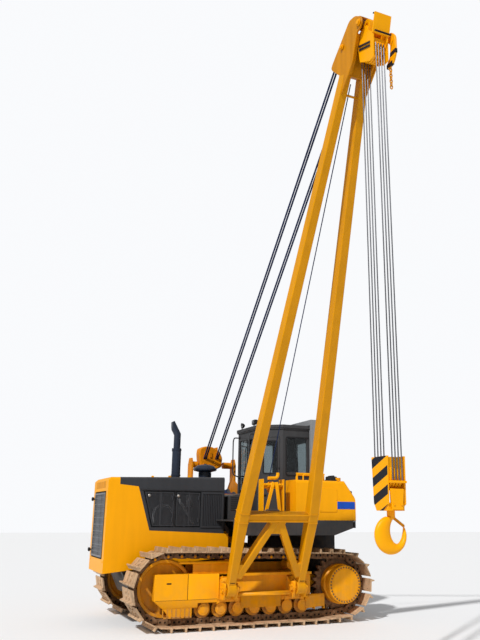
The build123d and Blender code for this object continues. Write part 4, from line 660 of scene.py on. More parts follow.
def buildTracks(v):
    # One shoe, chain link and set of bolts copied to every place; nuts only where the upper run shows them
    w = v["shoeHalf"]
    clipped = plate(v["shoe"], "xz", -w, w, 0.004)
    heads = bolts([(s, y * k, 0.077) for s, y in v["boltSpots"] for k in (-1, 1)], (0, 0, 1),
                         v["boltRadius"], v["boltHeight"])
    rails, cups, holes = [], [], []
    for k in (-1, 1):
        a, b = sorted((k * v["rail"][0], k * v["rail"][1]))
        rails.append(plate(softened(v["link"], 0.012, 3), "xz", a, b, 0.003))
        for r, length, chamfer, cut, sides in (v["boss"], v["pin"]):
            profile = [(0, 0.0), (0, r), (length - chamfer, r), (length, r - cut), (length, 0.0)]
            rails.append(turned(profile, (0, k * v["bossFrom"], 0), (0, k, 0), sides))
        for s, h in v["window"]:
            place = (s, k * v["rail"][1], h)
            cups.append(turned(v["cup"], place, (0, k, 0), 10))
            holes.append(turned(v["hole"], place, (0, k, 0), 10))
    bushing = disc(v["bushing"][0], -v["bushing"][1], v["bushing"][1], (0, 0, 0), (0, 1, 0), 12)
    for name, side in (("left", 1), ("right", -1)):
        places = trackPlaces(v, side)
        piece("trackShoes." + name, copies(join(clipped, heads), places), looks["shoeEarth"],
              hides=["track_" + name])
        piece("trackChain." + name, copies(join(bushing, *rails, *cups), places), looks["chainEarth"])
        # The link windows are near-black discs: painted shade.
        piece("trackWindows." + name, copies(join(*holes), places), looks["holeShadeAndSeams"])
        top = places[(places[:, 2, 2] > 0.9) & (places[:, 0, 3] > -0.9)]
        out, up, radius, height = v["nut"]
        nut = bolts([(v["pitch"] / 2, side * out, up)], (0, side, 0), radius, height)
        piece("trackNuts." + name, copies(nut, top), looks["frameYellow"])


buildTracks(trackValues)
print("stage: tracks")


# Wheels: turned profiles of (across the machine, radius)

wheelValues = {
    "idler": [(-0.115, 0.02), (-0.115, 0.105), (-0.05, 0.118), (-0.035, 0.14), (-0.035, 0.36), (-0.052, 0.385),
              (-0.115, 0.392), (-0.115, 0.434), (-0.108, 0.437), (-0.066, 0.437), (-0.062, 0.441),
              (-0.058, 0.460), (0.058, 0.460), (0.062, 0.441), (0.066, 0.437), (0.108, 0.437), (0.115, 0.434),
              (0.115, 0.392), (0.052, 0.385), (0.035, 0.36), (0.035, 0.14), (0.05, 0.118), (0.115, 0.105),
              (0.115, 0.02)],
    "hub": [(0.0, 0.02), (0.0, 0.33), (0.03, 0.335), (0.13, 0.335), (0.15, 0.314), (0.292, 0.314),
            (0.300, 0.308), (0.303, 0.302), (0.303, 0.272), (0.298, 0.268), (0.298, 0.262), (0.303, 0.258),
            (0.303, 0.02)], "hubFrom": 1.197, "hubBolts": 34, "boltRing": 0.283, "boltRadius": 0.0125,
    "rollerX": 0.978, "rollerStep": 0.298, "rollers": 7, "rollerZ": 0.3023,
    "roller": [(-0.165, 0.02), (-0.165, 0.07), (-0.155, 0.082), (-0.134, 0.085), (-0.132, 0.1345),
               (-0.118, 0.1365), (-0.115, 0.121), (-0.066, 0.121), (-0.062, 0.108), (0.062, 0.108),
               (0.066, 0.121), (0.115, 0.121), (0.118, 0.1365), (0.132, 0.1345), (0.134, 0.085), (0.155, 0.082),
               (0.165, 0.07), (0.165, 0.02)], "carrierX": (0.56, -0.64), "carrierDrop": (0.045, 0.088),
    "shaftOut": 0.163, "shaftBolts": 0.05,
    "carrier": [(-0.118, 0.02), (-0.118, 0.094), (-0.1, 0.094), (-0.098, 0.082), (0.098, 0.082), (0.1, 0.088),
                (0.118, 0.088), (0.12, 0.02)], "idlerBolts": (0.117, 0.072, 6),
}


def carrierZ(x):
    # Height of the upper run at x less the link and the roller
    sx, sz, sr = trackValues["sprocket"]
    low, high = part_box("idler_left")
    ix, top = (low.x + high.x) / 2, trackValues["pinLow"] + 2 * trackValues["idlerRadius"]
    return sz + sr + (top - sz - sr) * (x - sx) / (ix - sx) - sum(wheelValues["carrierDrop"])


def buildWheels(v):
    # Idler, drive hub, track rollers and carrier rollers, all spun from profiles
    low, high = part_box("idler_left")
    idlerX, idlerZ = (low.x + high.x) / 2, (low.z + high.z) / 2
    sx, sz, _ = trackValues["sprocket"]
    gauge = trackValues["gauge"]
    for name, side in (("left", 1), ("right", -1)):
        y = side * gauge
        axis = (0, side, 0)
        wheel = turned(v["idler"], (idlerX, y, idlerZ), axis, 64)
        out, radius, count = v["idlerBolts"]
        heads = bolts(ringPoints((idlerX, y + side * out, idlerZ), radius, count, axis), axis, 0.012, 0.012)
        wheel = join(wheel, heads)
        piece("idlerWheel." + name, wheel, looks["wheelYellow"], hides=["idler_" + name])
        piece("driveHub." + name, turned(v["hub"], (sx, side * v["hubFrom"], sz), axis, 72), looks["frameYellow"])
        # The hub bolt heads are dark brown instead of the hub's yellow, standing for the shade round each head:
        # painted shade.
        face = side * (v["hubFrom"] + 0.302)
        piece("driveHubBoltShade." + name, bolts(ringPoints((sx, face, sz), v["boltRing"], v["hubBolts"], axis), axis,
                                             v["boltRadius"], 0.011), looks["chainEarth"])
        shapes = []
        for i in range(v["rollers"]):
            x = v["rollerX"] - i * v["rollerStep"]
            shapes.append(turned(v["roller"], (x, y, v["rollerZ"]), axis, 40))
            ring = ringPoints((x, y + side * v["shaftOut"], v["rollerZ"]), v["shaftBolts"], 4, axis, 0.4)
            shapes.append(bolts(ring, axis, 0.009, 0.009))
        for x in v["carrierX"]:
            shapes.append(turned(v["carrier"], (x, y, carrierZ(x)), axis, 28))
        piece("rollerRow." + name, join(*shapes), looks["wheelYellow"],
              hides=["rollers_" + name])


buildWheels(wheelValues)
print("stage: wheels")


# Track frames: covers, bolts, pins, welds and guards

frameValues = {
    "face": 1.420, "slot": (1.545, 1.625, 0.700, 0.722), "seam": 1.270, "seamZ": (0.465, 0.848), "fold": 0.462,
    "foldX": (0.768, 1.795), "bigBolts": (0.682, [0.50, 0.57, 0.70, 0.79]), "smallBolts": (0.635, [0.60, 0.75]),
    "stripY": (1.31, 1.335, 1.395), "stripFoot": 0.845, "line": 0.0025,
    "flange": [(0.600, 0.470), (0.765, 0.380), (0.765, 0.842), (0.590, 0.842)], "flangeY": (1.345, 1.405),
    "strip": (0.50, 1.42, 1.000, 1.040), "weld": 0.007, "ribs": (1.215, 1.665, 7), "ribZ": (0.195, 0.335),
    "ribY": (1.372, 1.386), "footX": (0.62, -0.62), "earOut": 0.117, "earWeldZ": (0.46, 0.71),
    "earWeldY": (1.350, 1.43), "runs": [(0.455, -0.9, 0.58), (0.798, -0.5, 0.45)], "runY": 1.349, "footY": 1.6,
    "footZ": 0.62, "pin": 0.052, "ear": 0.075, "capLow": 0.398, "capHigh": 0.452, "capBolt": (0.034, 0.42),
    "capOut": 0.163, "hangerY": 1.345,
    "rollerCap": [(0.0, 0.0), (0.0, 0.092), (0.006, 0.092), (0.010, 0.086), (0.010, 0.062), (0.015, 0.058),
                  (0.016, 0.0)], "rearGuard": [(-1.225, 0.245), (-0.865, 0.450)],
}


def buildCovers(v):
    # Seam and fold lines as thin dark strips, a slot in near-black as painted shade, bolts, a rear flange and a
    # ribbed guard below
    for label, side in (("left", 1), ("right", -1)):
        y = v["face"]
        x0, x1, z0, z1 = v["slot"]
        dark = [plate(softened(rectangle(x0, z0, x1, z1), 0.011, 4), "xz", y - 0.002, y + 0.0012, 0.0005)]
        (start, end), (foot, top), thin = v["foldX"], v["seamZ"], v["line"]
        dark.append(brick((start, y - 0.002, v["fold"] - thin), (end, y + 0.001, v["fold"] + thin), 0.0005))
        dark.append(brick((v["seam"] - thin, y - 0.002, foot), (v["seam"] + thin, y + 0.001, top), 0.0005))
        light = [plate(v["flange"], "xz", v["flangeY"][0], v["flangeY"][1], 0.006)]
        for (x, levels), r, h in ((v["bigBolts"], 0.017, 0.014), (v["smallBolts"], 0.013, 0.012)):
            light.append(bolts([(x, v["flangeY"][1] - 0.002, z) for z in levels], (0, 1, 0), r, h))
        a, b, c, d = v["strip"]
        inner, middle, outer = v["stripY"]
        light.append(brick((a, middle, c), (b, outer, d), 0.012))
        light.append(brick((a + 0.02, inner, v["stripFoot"]), (b - 0.25, middle, c), 0.006))
        r0, r1, n = v["ribs"]
        guard = [brick((x, v["ribY"][0], v["ribZ"][0]), (x + 0.018, v["ribY"][1], v["ribZ"][1]), 0.004)
                 for x in np.linspace(r0, r1 - 0.018, n)]
        guard.append(brick((r0 - 0.03, v["ribY"][0], v["ribZ"][0] - 0.004),
                           (r1, v["ribY"][1], v["ribZ"][0] + 0.02), 0.004))
        for name, shapes, look in (("coverLines", dark, "holeShadeAndSeams"), ("coverFlange", light, "frameYellow"),
                                   ("guardRibs", guard, "wheelYellow")):
            whole = join(*shapes)
            piece(name + "." + label, onSide(whole, side), looks[look])


def buildFeet(v):
    # Pins with round heads, a keeper bar across each, weld beads where the ears meet the frame
    shapes, beads = [], []
    for x in v["footX"]:
        for k in (-1, 1):
            at = (x + k * v["earOut"], v["footY"], v["footZ"])
            shapes.append(turned([(-0.006, 0.0), (-0.006, v["ear"]), (0.006, v["ear"]), (0.008, v["pin"]),
                                  (0.030, v["pin"]), (0.034, v["pin"] - 0.006), (0.034, 0.0)], at, (k, 0, 0), 28))
            shapes.append(brick((at[0] + k * 0.034 - 0.006, v["footY"] - 0.055, v["footZ"] + 0.010),
                                (at[0] + k * 0.034 + 0.006, v["footY"] + 0.055, v["footZ"] + 0.034), 0.002))
            shapes.append(bolts([(at[0] + k * 0.038, v["footY"] + s * 0.04, v["footZ"] + 0.022) for s in (-1, 1)],
                                (k, 0, 0), 0.009, 0.008))
            for z in v["earWeldZ"]:
                beads.append(pipe([(at[0], y, z) for y in v["earWeldY"]], v["weld"], 6))
    piece("footPins", join(*shapes), looks["frameYellow"])
    for side in (1, -1):
        for z, x0, x1 in v["runs"]:
            beads.append(pipe([(x, side * v["runY"], z) for x in (x0, x1)], v["weld"] * 0.8, 6))
    piece("frameWelds", join(*beads), looks["frameYellow"])


def buildRollerGuards(v):
    # Bolt heads along the roller carriers and the caps that hold the roller shafts
    for label, side in (("left", 1), ("right", -1)):
        shapes = []
        for i in range(wheelValues["rollers"]):
            x = wheelValues["rollerX"] - i * wheelValues["rollerStep"]
            shapes.append(turned(v["rollerCap"], (x, v["hangerY"], wheelValues["rollerZ"]), (0, 1, 0), 28))
            y = trackValues["gauge"] + v["capOut"]
            apart, z = v["capBolt"]
            shapes.append(bolts([(x + k * apart, y + 0.011, z) for k in (-1, 1)], (0, 1, 0), 0.010, 0.009))
        last = wheelValues["rollerX"] - (wheelValues["rollers"] - 1) * wheelValues["rollerStep"]
        shapes.append(brick((last - 0.12, y - 0.03, v["capLow"]),
                            (wheelValues["rollerX"] + 0.12, y + 0.012, v["capHigh"]), 0.006))
        (x0, z0), (x1, z1) = v["rearGuard"]
        shapes.append(plate([(x0, z0 + 0.03), (x1, z0), (x1, z1), (x0, z1)], "xz", v["hangerY"] + 0.012,
                            v["hangerY"] + 0.024, 0.003))
        shapes.append(bolts([(x, v["hangerY"] + 0.023, z1 - 0.03) for x in (x0 + 0.05, x1 - 0.05)], (0, 1, 0),
                            0.012, 0.01))
        low = join(*shapes)
        piece("rollerCaps." + label, onSide(low, side), looks["frameYellow"])


def buildSprocket(v):
    # Teeth as a closed wave: each tooth rises over a rounded gap, the plate carries a bolted ring
    sx, sz, r = trackValues["sprocket"]
    n = v["teeth"]
    turn = np.array(v["turns"])
    rise = np.array(v["rise"])
    a = (np.arange(n)[:, None] + turn[None]).ravel() * 2 * np.pi / n
    radius = np.tile(r + rise, n)
    outline = np.stack([sx + radius * np.cos(a), sz + radius * np.sin(a)], 1)
    for label, side in (("left", 1), ("right", -1)):
        y = side * trackValues["gauge"]
        axis = (0, side, 0)
        rim = plate(outline, "xz", y - v["half"], y + v["half"], 0.005)
        web = turned(v["web"], (sx, y, sz), axis, 64)
        heads = bolts(ringPoints((sx, y + side * 0.053, sz), v["boltRing"], n, axis), axis, 0.013, 0.012)
        piece("sprocketRim." + label, join(rim, web, heads), looks["chainEarth"],
              hides=["sprocket_" + label])
        inner = turned(v["inner"], (sx, y, sz), axis, 48)
        piece("hubInner." + label, inner, looks["chainEarth"])


sprocketValues = {
    "teeth": 25, "turns": [0.0, 0.10, 0.22, 0.34, 0.45, 0.56, 0.78, 0.89],
    "rise": [-0.034, -0.040, -0.040, -0.034, -0.004, 0.022, 0.022, -0.004], "half": 0.042, "boltRing": 0.370,
    "web": [(0.042, 0.25), (0.042, 0.395), (0.047, 0.405), (0.052, 0.400), (0.054, 0.39), (0.054, 0.25)],
    "inner": [(-0.19, 0.0), (-0.19, 0.30), (-0.05, 0.32), (0.0, 0.32), (0.0, 0.0)],
}


buildCovers(frameValues)
buildFeet(frameValues)
buildRollerGuards(frameValues)
buildSprocket(sprocketValues)
print("stage: track frames")


panelValues = {"low": (-1.02, 0.905, 0.78), "high": (1.16, 0.925, 0.985)}


def buildPanels(v):
    # A plain panel on the inner side of the loop fills the view between the upper run and the frame; its darker
    # yellow is painted shade
    panel = brick(v["low"], v["high"], 0.006)
    piece("innerShadePanels", join(panel, mirrorY(panel)), looks["wheelYellow"])


buildPanels(panelValues)


# Boom: drawn in its own lean frame of across, square to the boom, and along it

boomValues = {
    "pivot": (1.6, 0.62), "along": (0.3859, 0.9225), "square": (0.9225, -0.3859), "footX": 0.62, "headX": 0.14,
    "knee": 1.225, "head": 8.40, "wide": (0.172, 0.130), "deep": (0.190, 0.172), "foot": (0.126, 0.136, 0.10),
    "eye": (0.118, 0.075), "cut": 0.012, "weld": 0.007, "beadApart": 0.075, "braceFoot": 0.215,
    "footPlate": [(0.555, 0.20), (0.555, 0.44), (0.43, 0.44), (0.50, 0.20)], "footSlot": (0.042, 0.128, 0.142),
    "beadX": 0.53, "topPin": (0.293, 8.989),
    "leadSheave": [(-0.014, 0.02), (-0.014, 0.085), (-0.005, 0.070), (0.005, 0.070), (0.014, 0.085),
                   (0.014, 0.02)], "leadPlace": (0.0, -0.03, 8.40), "cross": (0.122, 0.146),
    "crossLip": (0.018, 0.016), "brace": (0.140, 0.116), "gusset": (0.17, 0.30, 0.27),
    "cheek": [(-0.414, 8.442), (-0.36, 8.40), (-0.02, 8.255), (0.02, 7.98), (0.09, 7.96), (0.284, 8.41),
              (0.262, 8.86), (0.34, 8.90), (0.365, 8.99), (0.307, 9.08), (0.10, 9.135), (-0.06, 9.10),
              (-0.40, 8.50)], "cheekIn": 0.188, "cheekOut": 0.214,
    "crown": [(-0.10, 9.03), (-0.02, 9.085), (0.10, 9.115), (0.20, 9.11), (0.24, 9.10)],
    "rear": [(-0.40, 8.452), (-0.20, 8.352), (-0.03, 8.28), (0.11, 8.265)],
    "front": [(0.19, 8.26), (0.262, 8.44), (0.244, 8.85)], "web": [(0.092, 8.27), (0.092, 8.86)],
    "crownReach": 0.19, "flange": 0.150, "tie": 8.0, "tieRadius": 0.018, "sheave": (-0.13, 8.72, 0.165),
    "sheaveX": [-0.146, -0.108, 0.108, 0.146],
}


def leanPoint(x, n, a):
    # World point of a point given across, square to the boom and along it
    v = boomValues
    x, n, a = np.broadcast_arrays(np.asarray(x, float), np.asarray(n, float), np.asarray(a, float))
    return np.stack([x, v["pivot"][0] + a * v["along"][0] + n * v["square"][0],
                     v["pivot"][1] + a * v["along"][1] + n * v["square"][1]], -1)


def leaned(shape):
    # A shape drawn with the boom upright at the origin, laid into its lean
    p, f = shape
    return leanPoint(p[:, 0], p[:, 1], p[:, 2]), f


def boxRing(x, a, wide, deep, cut):
    # Eight corners of a cut-cornered rectangle at height a
    w, d, c = wide / 2, deep / 2, cut
    o = np.array([(-w + c, -d), (w - c, -d), (w, -d + c), (w, d - c), (w - c, d), (-w + c, d), (-w, d - c),
                  (-w, -d + c)])
    return np.stack([x + o[:, 0], o[:, 1], np.full(8, float(a))], 1)


def buildBoom(v):
    # Legs are rings of a cut-cornered box at foot, knee and head; weld beads close the joints
    c = v["cut"]
    shapes, beads, slots = [], [], []
    for k in (-1, 1):
        fx, hx = k * v["footX"], k * v["headX"]
        fw, fd, fa = v["foot"]
        rings = [boxRing(fx, fa, fw, fd, c), boxRing(fx, v["knee"] - 0.06, v["wide"][0], v["deep"][0], c),
                 boxRing(fx - k * 0.004, v["knee"] + 0.06, v["wide"][0], v["deep"][0], c),
                 boxRing(hx, v["head"], v["wide"][1], v["deep"][1], c)]
        shapes.append(leaned(shell(np.array(rings))))
        r, half = v["eye"]
        shapes.append(leaned(turned([(-half, 0.046), (-half, r - 0.006), (-half + 0.006, r), (half - 0.006, r),
                                     (half, r - 0.006), (half, 0.046)], (fx, 0, 0), (1, 0, 0), 40)))
        for a in (v["knee"] - v["beadApart"], v["knee"] + v["beadApart"]):
            ring = boxRing(fx, a, v["wide"][0] + 0.004, v["deep"][0] + 0.004, c)
            beads.append(leaned(pipe(np.concatenate([ring, ring[:1]]), v["weld"], 6)))
        start, stop = (k * (v["footX"] - 0.085), 0, v["braceFoot"]), (k * 0.02, 0, v["knee"] - 0.02)
        shapes.append(leaned(beam(start, stop, v["brace"][1], v["brace"][0], (0, 1, 0), c)))
        shapes.append(leaned(plate([(k * x, a) for x, a in v["footPlate"]][::k], "xz", -0.064, 0.064, 0.006)))
        x, low, high = v["footSlot"]
        slots.append(leaned(brick((fx - x, fd / 2 - 0.004, low), (fx + x, fd / 2 + 0.0015, high), 0.001)))
    lipWide, lipThick = v["crossLip"]
    h, d = v["cross"]
    shapes.append(leaned(brick((-v["footX"], -d / 2, v["knee"] - h / 2), (v["footX"], d / 2, v["knee"] + h / 2),
                               0.006)))
    for s in (-1, 1):
        z = v["knee"] + s * (h / 2 - lipThick / 2)
        shapes.append(leaned(brick((-v["footX"] + 0.09, -d / 2 - lipWide, z - lipThick / 2),
                                   (v["footX"] - 0.09, d / 2 + lipWide, z + lipThick / 2), 0.003)))
        beads.append(leaned(pipe([(s * v["beadX"], d / 2 + 0.002, v["knee"] + z) for z in (-0.06, 0.06)],
                                 v["weld"], 6)))
    low, wide, drop = v["gusset"]
    shapes.append(leaned(plate([(-wide / 2, v["knee"] - 0.05), (-low / 2, v["knee"] - drop),
                                (low / 2, v["knee"] - drop),
                                (wide / 2, v["knee"] - 0.05)], "xz", -0.063, 0.063, 0.006)))
    shapes.append(leaned(disc(v["tieRadius"], -0.23, 0.23, (0, 0, v["tie"]), (1, 0, 0), 16)))
    # Legs, braces and gusset take the darkened yellow as painted shade.
    piece("boomLegs", join(*shapes), looks["boomShadeYellow"], "boom", ["boom"])
    piece("boomWelds", join(*beads), looks["boomShadeYellow"], "boom")
    # The foot slots are near-black plates: painted shade.
    piece("boomSlots", join(*slots), looks["holeShadeAndSeams"], "boom")


def buildHead(v):
    # Cheek plates either side, a curved crown, front and rear closing plates, pin ends and bolts
    shapes, bossShapes = [], []
    rim = softened(v["cheek"], 0.05, 5)
    for k in (-1, 1):
        a, b = sorted((k * v["cheekIn"], k * v["cheekOut"]))
        shapes.append(leaned(plate(rim, "yz", a, b, 0.004)))
        for (n, along), r in ((v["topPin"], 0.055), (v["sheave"][:2], 0.045)):
            bossShapes.append(leaned(turned([(0.0, 0.0), (0.0, r), (0.012, r), (0.014, r * 0.7), (0.030, r * 0.7),
                                             (0.034, r * 0.6), (0.034, 0.0)],
                                            (k * (v["cheekOut"] + 0.008), n, along), (k, 0, 0), 24)))
            bossShapes.append(leaned(bolts(ringPoints((k * (v["cheekOut"] + 0.019), n, along), r * 0.84, 4,
                                                      (k, 0, 0), 0.6),
                                           (k, 0, 0), 0.006, 0.006)))
    inside = v["cheekIn"] + 0.004
    for name, spans in (("crown", [(-v["crownReach"], v["crownReach"])]), ("rear", [(-inside, inside)]),
                        ("web", [(-inside, inside)]),
                        ("front", [(-inside, -v["flange"]), (v["flange"], inside)])):
        line = np.array(v[name])
        d = unit(np.gradient(line, axis=0))
        off = np.stack([-d[:, 1], d[:, 0]], 1) * 0.008
        outline = np.concatenate([line + off, (line - off)[::-1]])
        shapes += [leaned(plate(outline, "yz", a, b, 0.002)) for a, b in spans]
    sheaves = []
    n0, a0, r0 = v["sheave"]
    groove = [(-0.017, 0.03), (-0.017, r0 + 0.012), (-0.011, r0 + 0.012), (-0.006, r0 - 0.006), (0.006, r0 - 0.006),
              (0.011, r0 + 0.012), (0.017, r0 + 0.012), (0.017, 0.03)]
    for x in v["sheaveX"]:
        sheaves.append(leaned(turned(groove, (x, n0, a0), (1, 0, 0), 48)))
    sheaves.append(leaned(disc(0.034, -0.19, 0.19, (0, n0, a0), (1, 0, 0), 20)))
    sheaves.append(leaned(turned(v["leadSheave"], v["leadPlace"], (1, 0, 0), 32)))
    # The head plates take the darkened yellow as painted shade.
    piece("boomHead", join(*shapes), looks["headShadeOrange"], "boom")
    piece("headPins", join(*bossShapes), looks["frameYellow"], "boom")
    piece("headSheaves", join(*sheaves), looks["greaseBlue"], "boom", ["head_sheaves"])


def buildUpperBlock(v):
    # Two dark bands on each side plate, dark strips along the bumper's top and bottom edges as painted shade, a
    # guard arm with bands, and a short chain
    bandShapes, armShapes, armBands = [], [], []
    for k in (-1, 1):
        for quad in v["bands"]:
            a, b = sorted((k * (v["plateX"] - 0.001), k * (v["plateX"] + 0.0015)))
            bandShapes.append(plate(quad, "yz", a, b, 0.0004))
    piece("blockBands", join(*bandShapes), looks["bandBlack"], "tackle")
    armShapes.append(plate(softened(v["arm"], 0.05, 4), "yz", v["armX"][0], v["armX"][1], 0.003))
    piece("guardArm", join(*armShapes), looks["machineYellow"], "tackle")
    for p, q in v["armBands"]:
        armBands.append(brick((v["armX"][0] - 0.002, p[0], p[1]), (v["armX"][1] + 0.002, q[0], q[1]), 0.001))
    piece("guardArmBands", join(*armBands), looks["bandBlack"], "tackle")
    x, y, z = v["chainTop"]
    ring = v["chainRing"]
    angle = np.linspace(0, 2 * np.pi, 14)
    link = pipe(np.stack([np.cos(angle) * ring, 0 * angle, np.sin(angle) * ring * 1.7], 1), 0.0085, 8)
    places = []
    for i in range(v["chainLinks"]):
        turn = (1, 0, 0) if i % 2 else (0, 1, 0)
        other = (0, 1, 0) if i % 2 else (-1, 0, 0)
        places.append(placed((x, y, z - i * ring * 2.5), turn, other, (0, 0, 1)))
    piece("guardChain", copies(link, places), looks["wheelYellow"], "tackle")
    half = v["bumperHalf"]
    # The dark strips along the bumper's edges stand for the shade there: painted shade.
    rims = [brick((-half, y - 0.01, z - 0.006), (half, y + 0.022, z + 0.006), 0.003) for y, z in v["bumper"]]
    piece("bumperEdgeShade", join(*rims), looks["rubber"], "tackle")


blockValues = {
    "plateX": 0.140,
    "bands": [[(5.19, 8.425), (5.49, 8.31), (5.49, 8.345), (5.19, 8.465)],
              [(5.19, 8.485), (5.49, 8.37), (5.49, 8.405), (5.19, 8.525)]], "armX": (-0.215, -0.185),
    "arm": [(5.36, 8.56), (5.46, 8.62), (5.57, 8.60), (5.655, 8.48), (5.65, 8.20), (5.575, 8.07), (5.42, 8.06),
            (5.41, 8.13), (5.50, 8.20), (5.53, 8.40), (5.46, 8.50), (5.36, 8.49)],
    "armBands": [((5.515, 8.205), (5.654, 8.275)), ((5.415, 8.064), (5.562, 8.13))],
    "chainTop": (-0.2, 5.49, 8.06), "chainLinks": 8, "chainRing": 0.019, "bumperHalf": 0.141,
    "bumper": [(5.60, 8.80), (5.62, 8.49)],
}


hookValues = {
    "y": 5.339, "outer": (0.006, 1.551, 0.2245), "inner": (-0.080, 1.602, 0.094, 0.150), "turn": (74.0, -205.0),
    "deep": [(0.0, 0.046), (0.2, 0.050), (0.5, 0.058), (0.75, 0.046), (0.92, 0.030), (1.0, 0.010)],
    "taper": [(0.0, 1.0), (0.86, 1.0), (0.95, 0.72), (1.0, 0.25)], "rings": 64,
    "latch": [(-0.030, 1.762), (-0.190, 1.655)], "neck": (-0.012, 1.745),
    "shank": [(0.0, 0.0), (0.0, 0.046), (0.04, 0.050), (0.13, 0.050), (0.132, 0.074), (0.18, 0.074),
              (0.184, 0.066), (0.184, 0.0)],
}


def buildHook(v):
    # Ovals fill the space between a round outside and a drop-shaped throat, from neck to tip
    ox, oz, r = v["outer"]
    ix, iz, hx, hz = v["inner"]
    t = np.linspace(0, 1, v["rings"])
    turn = np.radians(v["turn"][0] + (v["turn"][1] - v["turn"][0]) * t)
    out = np.stack([ox + r * np.cos(turn), 0 * t + v["y"], oz + r * np.sin(turn)], 1)
    into = np.stack([ix + hx * np.cos(turn), 0 * t + v["y"], iz + hz * np.sin(turn)], 1)
    thin = np.interp(t, *zip(*v["taper"]))[:, None]
    half = (out - into) / 2 * thin
    middle = (out + into) / 2 + (out - into) / 2 * (1 - thin) * 0.4
    deep = np.interp(t, *zip(*v["deep"]))
    a = np.linspace(0, 2 * np.pi, 20, endpoint=False)
    rings = (middle[:, None] + np.cos(a)[None, :, None] * half[:, None]
             + (np.sin(a)[None] * deep[:, None])[..., None] * np.array((0, 1, 0)))
    x, z = v["neck"]
    shank = turned(v["shank"], (x, v["y"], z), (0, 0, 1), 28)
    piece("hookBody", join(shell(rings), shank), looks["machineYellow"], "hook", ["hook"],
          smooth=50)
    (x0, z0), (x1, z1) = v["latch"]
    bar = [pipe([(x0, v["y"] + k * 0.022, z0), (x1, v["y"] + k * 0.016, z1)], 0.0075, 8) for k in (-1, 1)]
    bar.append(beam((x0, v["y"], z0), (x1, v["y"], z1), 0.036, 0.006, (0, 1, 0), 0.001))
    bar.append(disc(0.014, -0.04, 0.04, (x0, v["y"], z0), (0, 1, 0), 14))
    piece("hookLatch", join(*bar), looks["wheelYellow"], "hook")


faceValues = {
    "y": (5.498, 5.514), "half": 0.112, "ledge": 0.48, "ledgeReach": 0.045, "foot": (0.074, 0.098, 0.40),
    "upperHalf": 0.128, "upper": (5.493, 5.509, 8.27, 8.47),
}


def buildBlockFace(v):
    # Face plate behind the falls, a ledge over them and a tapered foot; a face plate on the upper block
    low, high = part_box("hook_block")
    y0, y1 = v["y"]
    z = low.z + (high.z - low.z) * (1 - v["ledge"])
    h, tall = v["half"], high.z - low.z
    a, b, up = v["foot"]
    shapes = [brick((-h, y0 - 0.012, z), (h, y0, high.z - 0.012), 0.003),
              brick((-h, y0 - 0.012, z - 0.014), (h, y1 + v["ledgeReach"], z + 0.014), 0.004),
              plate([(-a, low.z + 0.012), (a, low.z + 0.012), (b, low.z + up * tall), (-b, low.z + up * tall)],
                    "xz",
                    y0 - 0.004, y1, 0.003),
              bolts([(x, y1, low.z + 0.07) for x in (-0.05, 0.05)], (0, 1, 0), 0.012, 0.01)]
    piece("hookBlockFace", join(*shapes), looks["machineYellow"], "hook_block")
    y0, y1, z0, z1 = v["upper"]
    piece("upperBlockFace", brick((-v["upperHalf"], y0, z0), (v["upperHalf"], y1, z1), 0.003),
          looks["machineYellow"], "tackle")


buildBlockFace(faceValues)
buildBoom(boomValues)
buildHead(boomValues)
buildUpperBlock(blockValues)
buildHook(hookValues)
print("stage: boom and hook")


# Hood: doors with wire mesh, louvres, grille, exhaust and cleaner

hoodValues = {
    "skin": 0.620, "doorStand": 0.632, "doors": {"front": (1.318, 1.712, 1.876), "rear": (0.838, 1.302, 1.302)},
    "doorLow": 1.563, "doorHigh": 2.162, "frame": 0.034, "meshDepth": 0.004, "latch": (1.775, 2.085, 0.024),
    "vent": (0.44, 0.80, 1.58, 2.13), "slats": 11, "rail": (2.180, 0.010),
    "strut": [(1.265, 2.10), (0.93, 1.60)], "clear": 0.016, "hinge": (0.012, 0.035, 0.042),
    "hingeZ": (1.68, 2.05), "barFront": (-0.16, -0.13), "barRear": (0.2, 0.225), "border": 0.03,
    "bigFilter": [(0, 0.0), (0, 0.07), (0.01, 0.075), (0.24, 0.075), (0.26, 0.06), (0.26, 0.0)],
    "bigPlace": (0.73, 0.52, 1.68), "smallPlace": (1.02, 0.50, 1.90), "strutY": 0.54,
    "smallFilter": [(0, 0.0), (0, 0.05), (0.2, 0.05), (0.21, 0.04), (0.21, 0.0)],
    "charge": [(1.65, 0.50, 1.62), (1.65, 0.52, 1.88), (1.42, 0.52, 1.95), (1.30, 0.48, 1.80)],
}


def doorOutline(v, name, inset=0.0):
    # The rear edge is upright and the front edge slants from low to high, drawn in by the inset
    rear, low, high = v["doors"][name]
    return drawnIn([(rear, v["doorLow"]), (low, v["doorLow"]), (high, v["doorHigh"]), (rear, v["doorHigh"])], inset)


def ringPlate(outline, inner, plane, low, high):
    # A flat frame: four rings joined as a loop, from outer edge over the face to the inner edge and back
    a, b, c = lay[plane]
    rings = []
    for line, at in ((outline, low), (outline, high), (inner, high), (inner, low)):
        ring = np.zeros((len(line), 3))
        ring[:, (a, b)], ring[:, c] = line, at
        rings.append(ring)
    return shell(np.array(rings), loop=True)


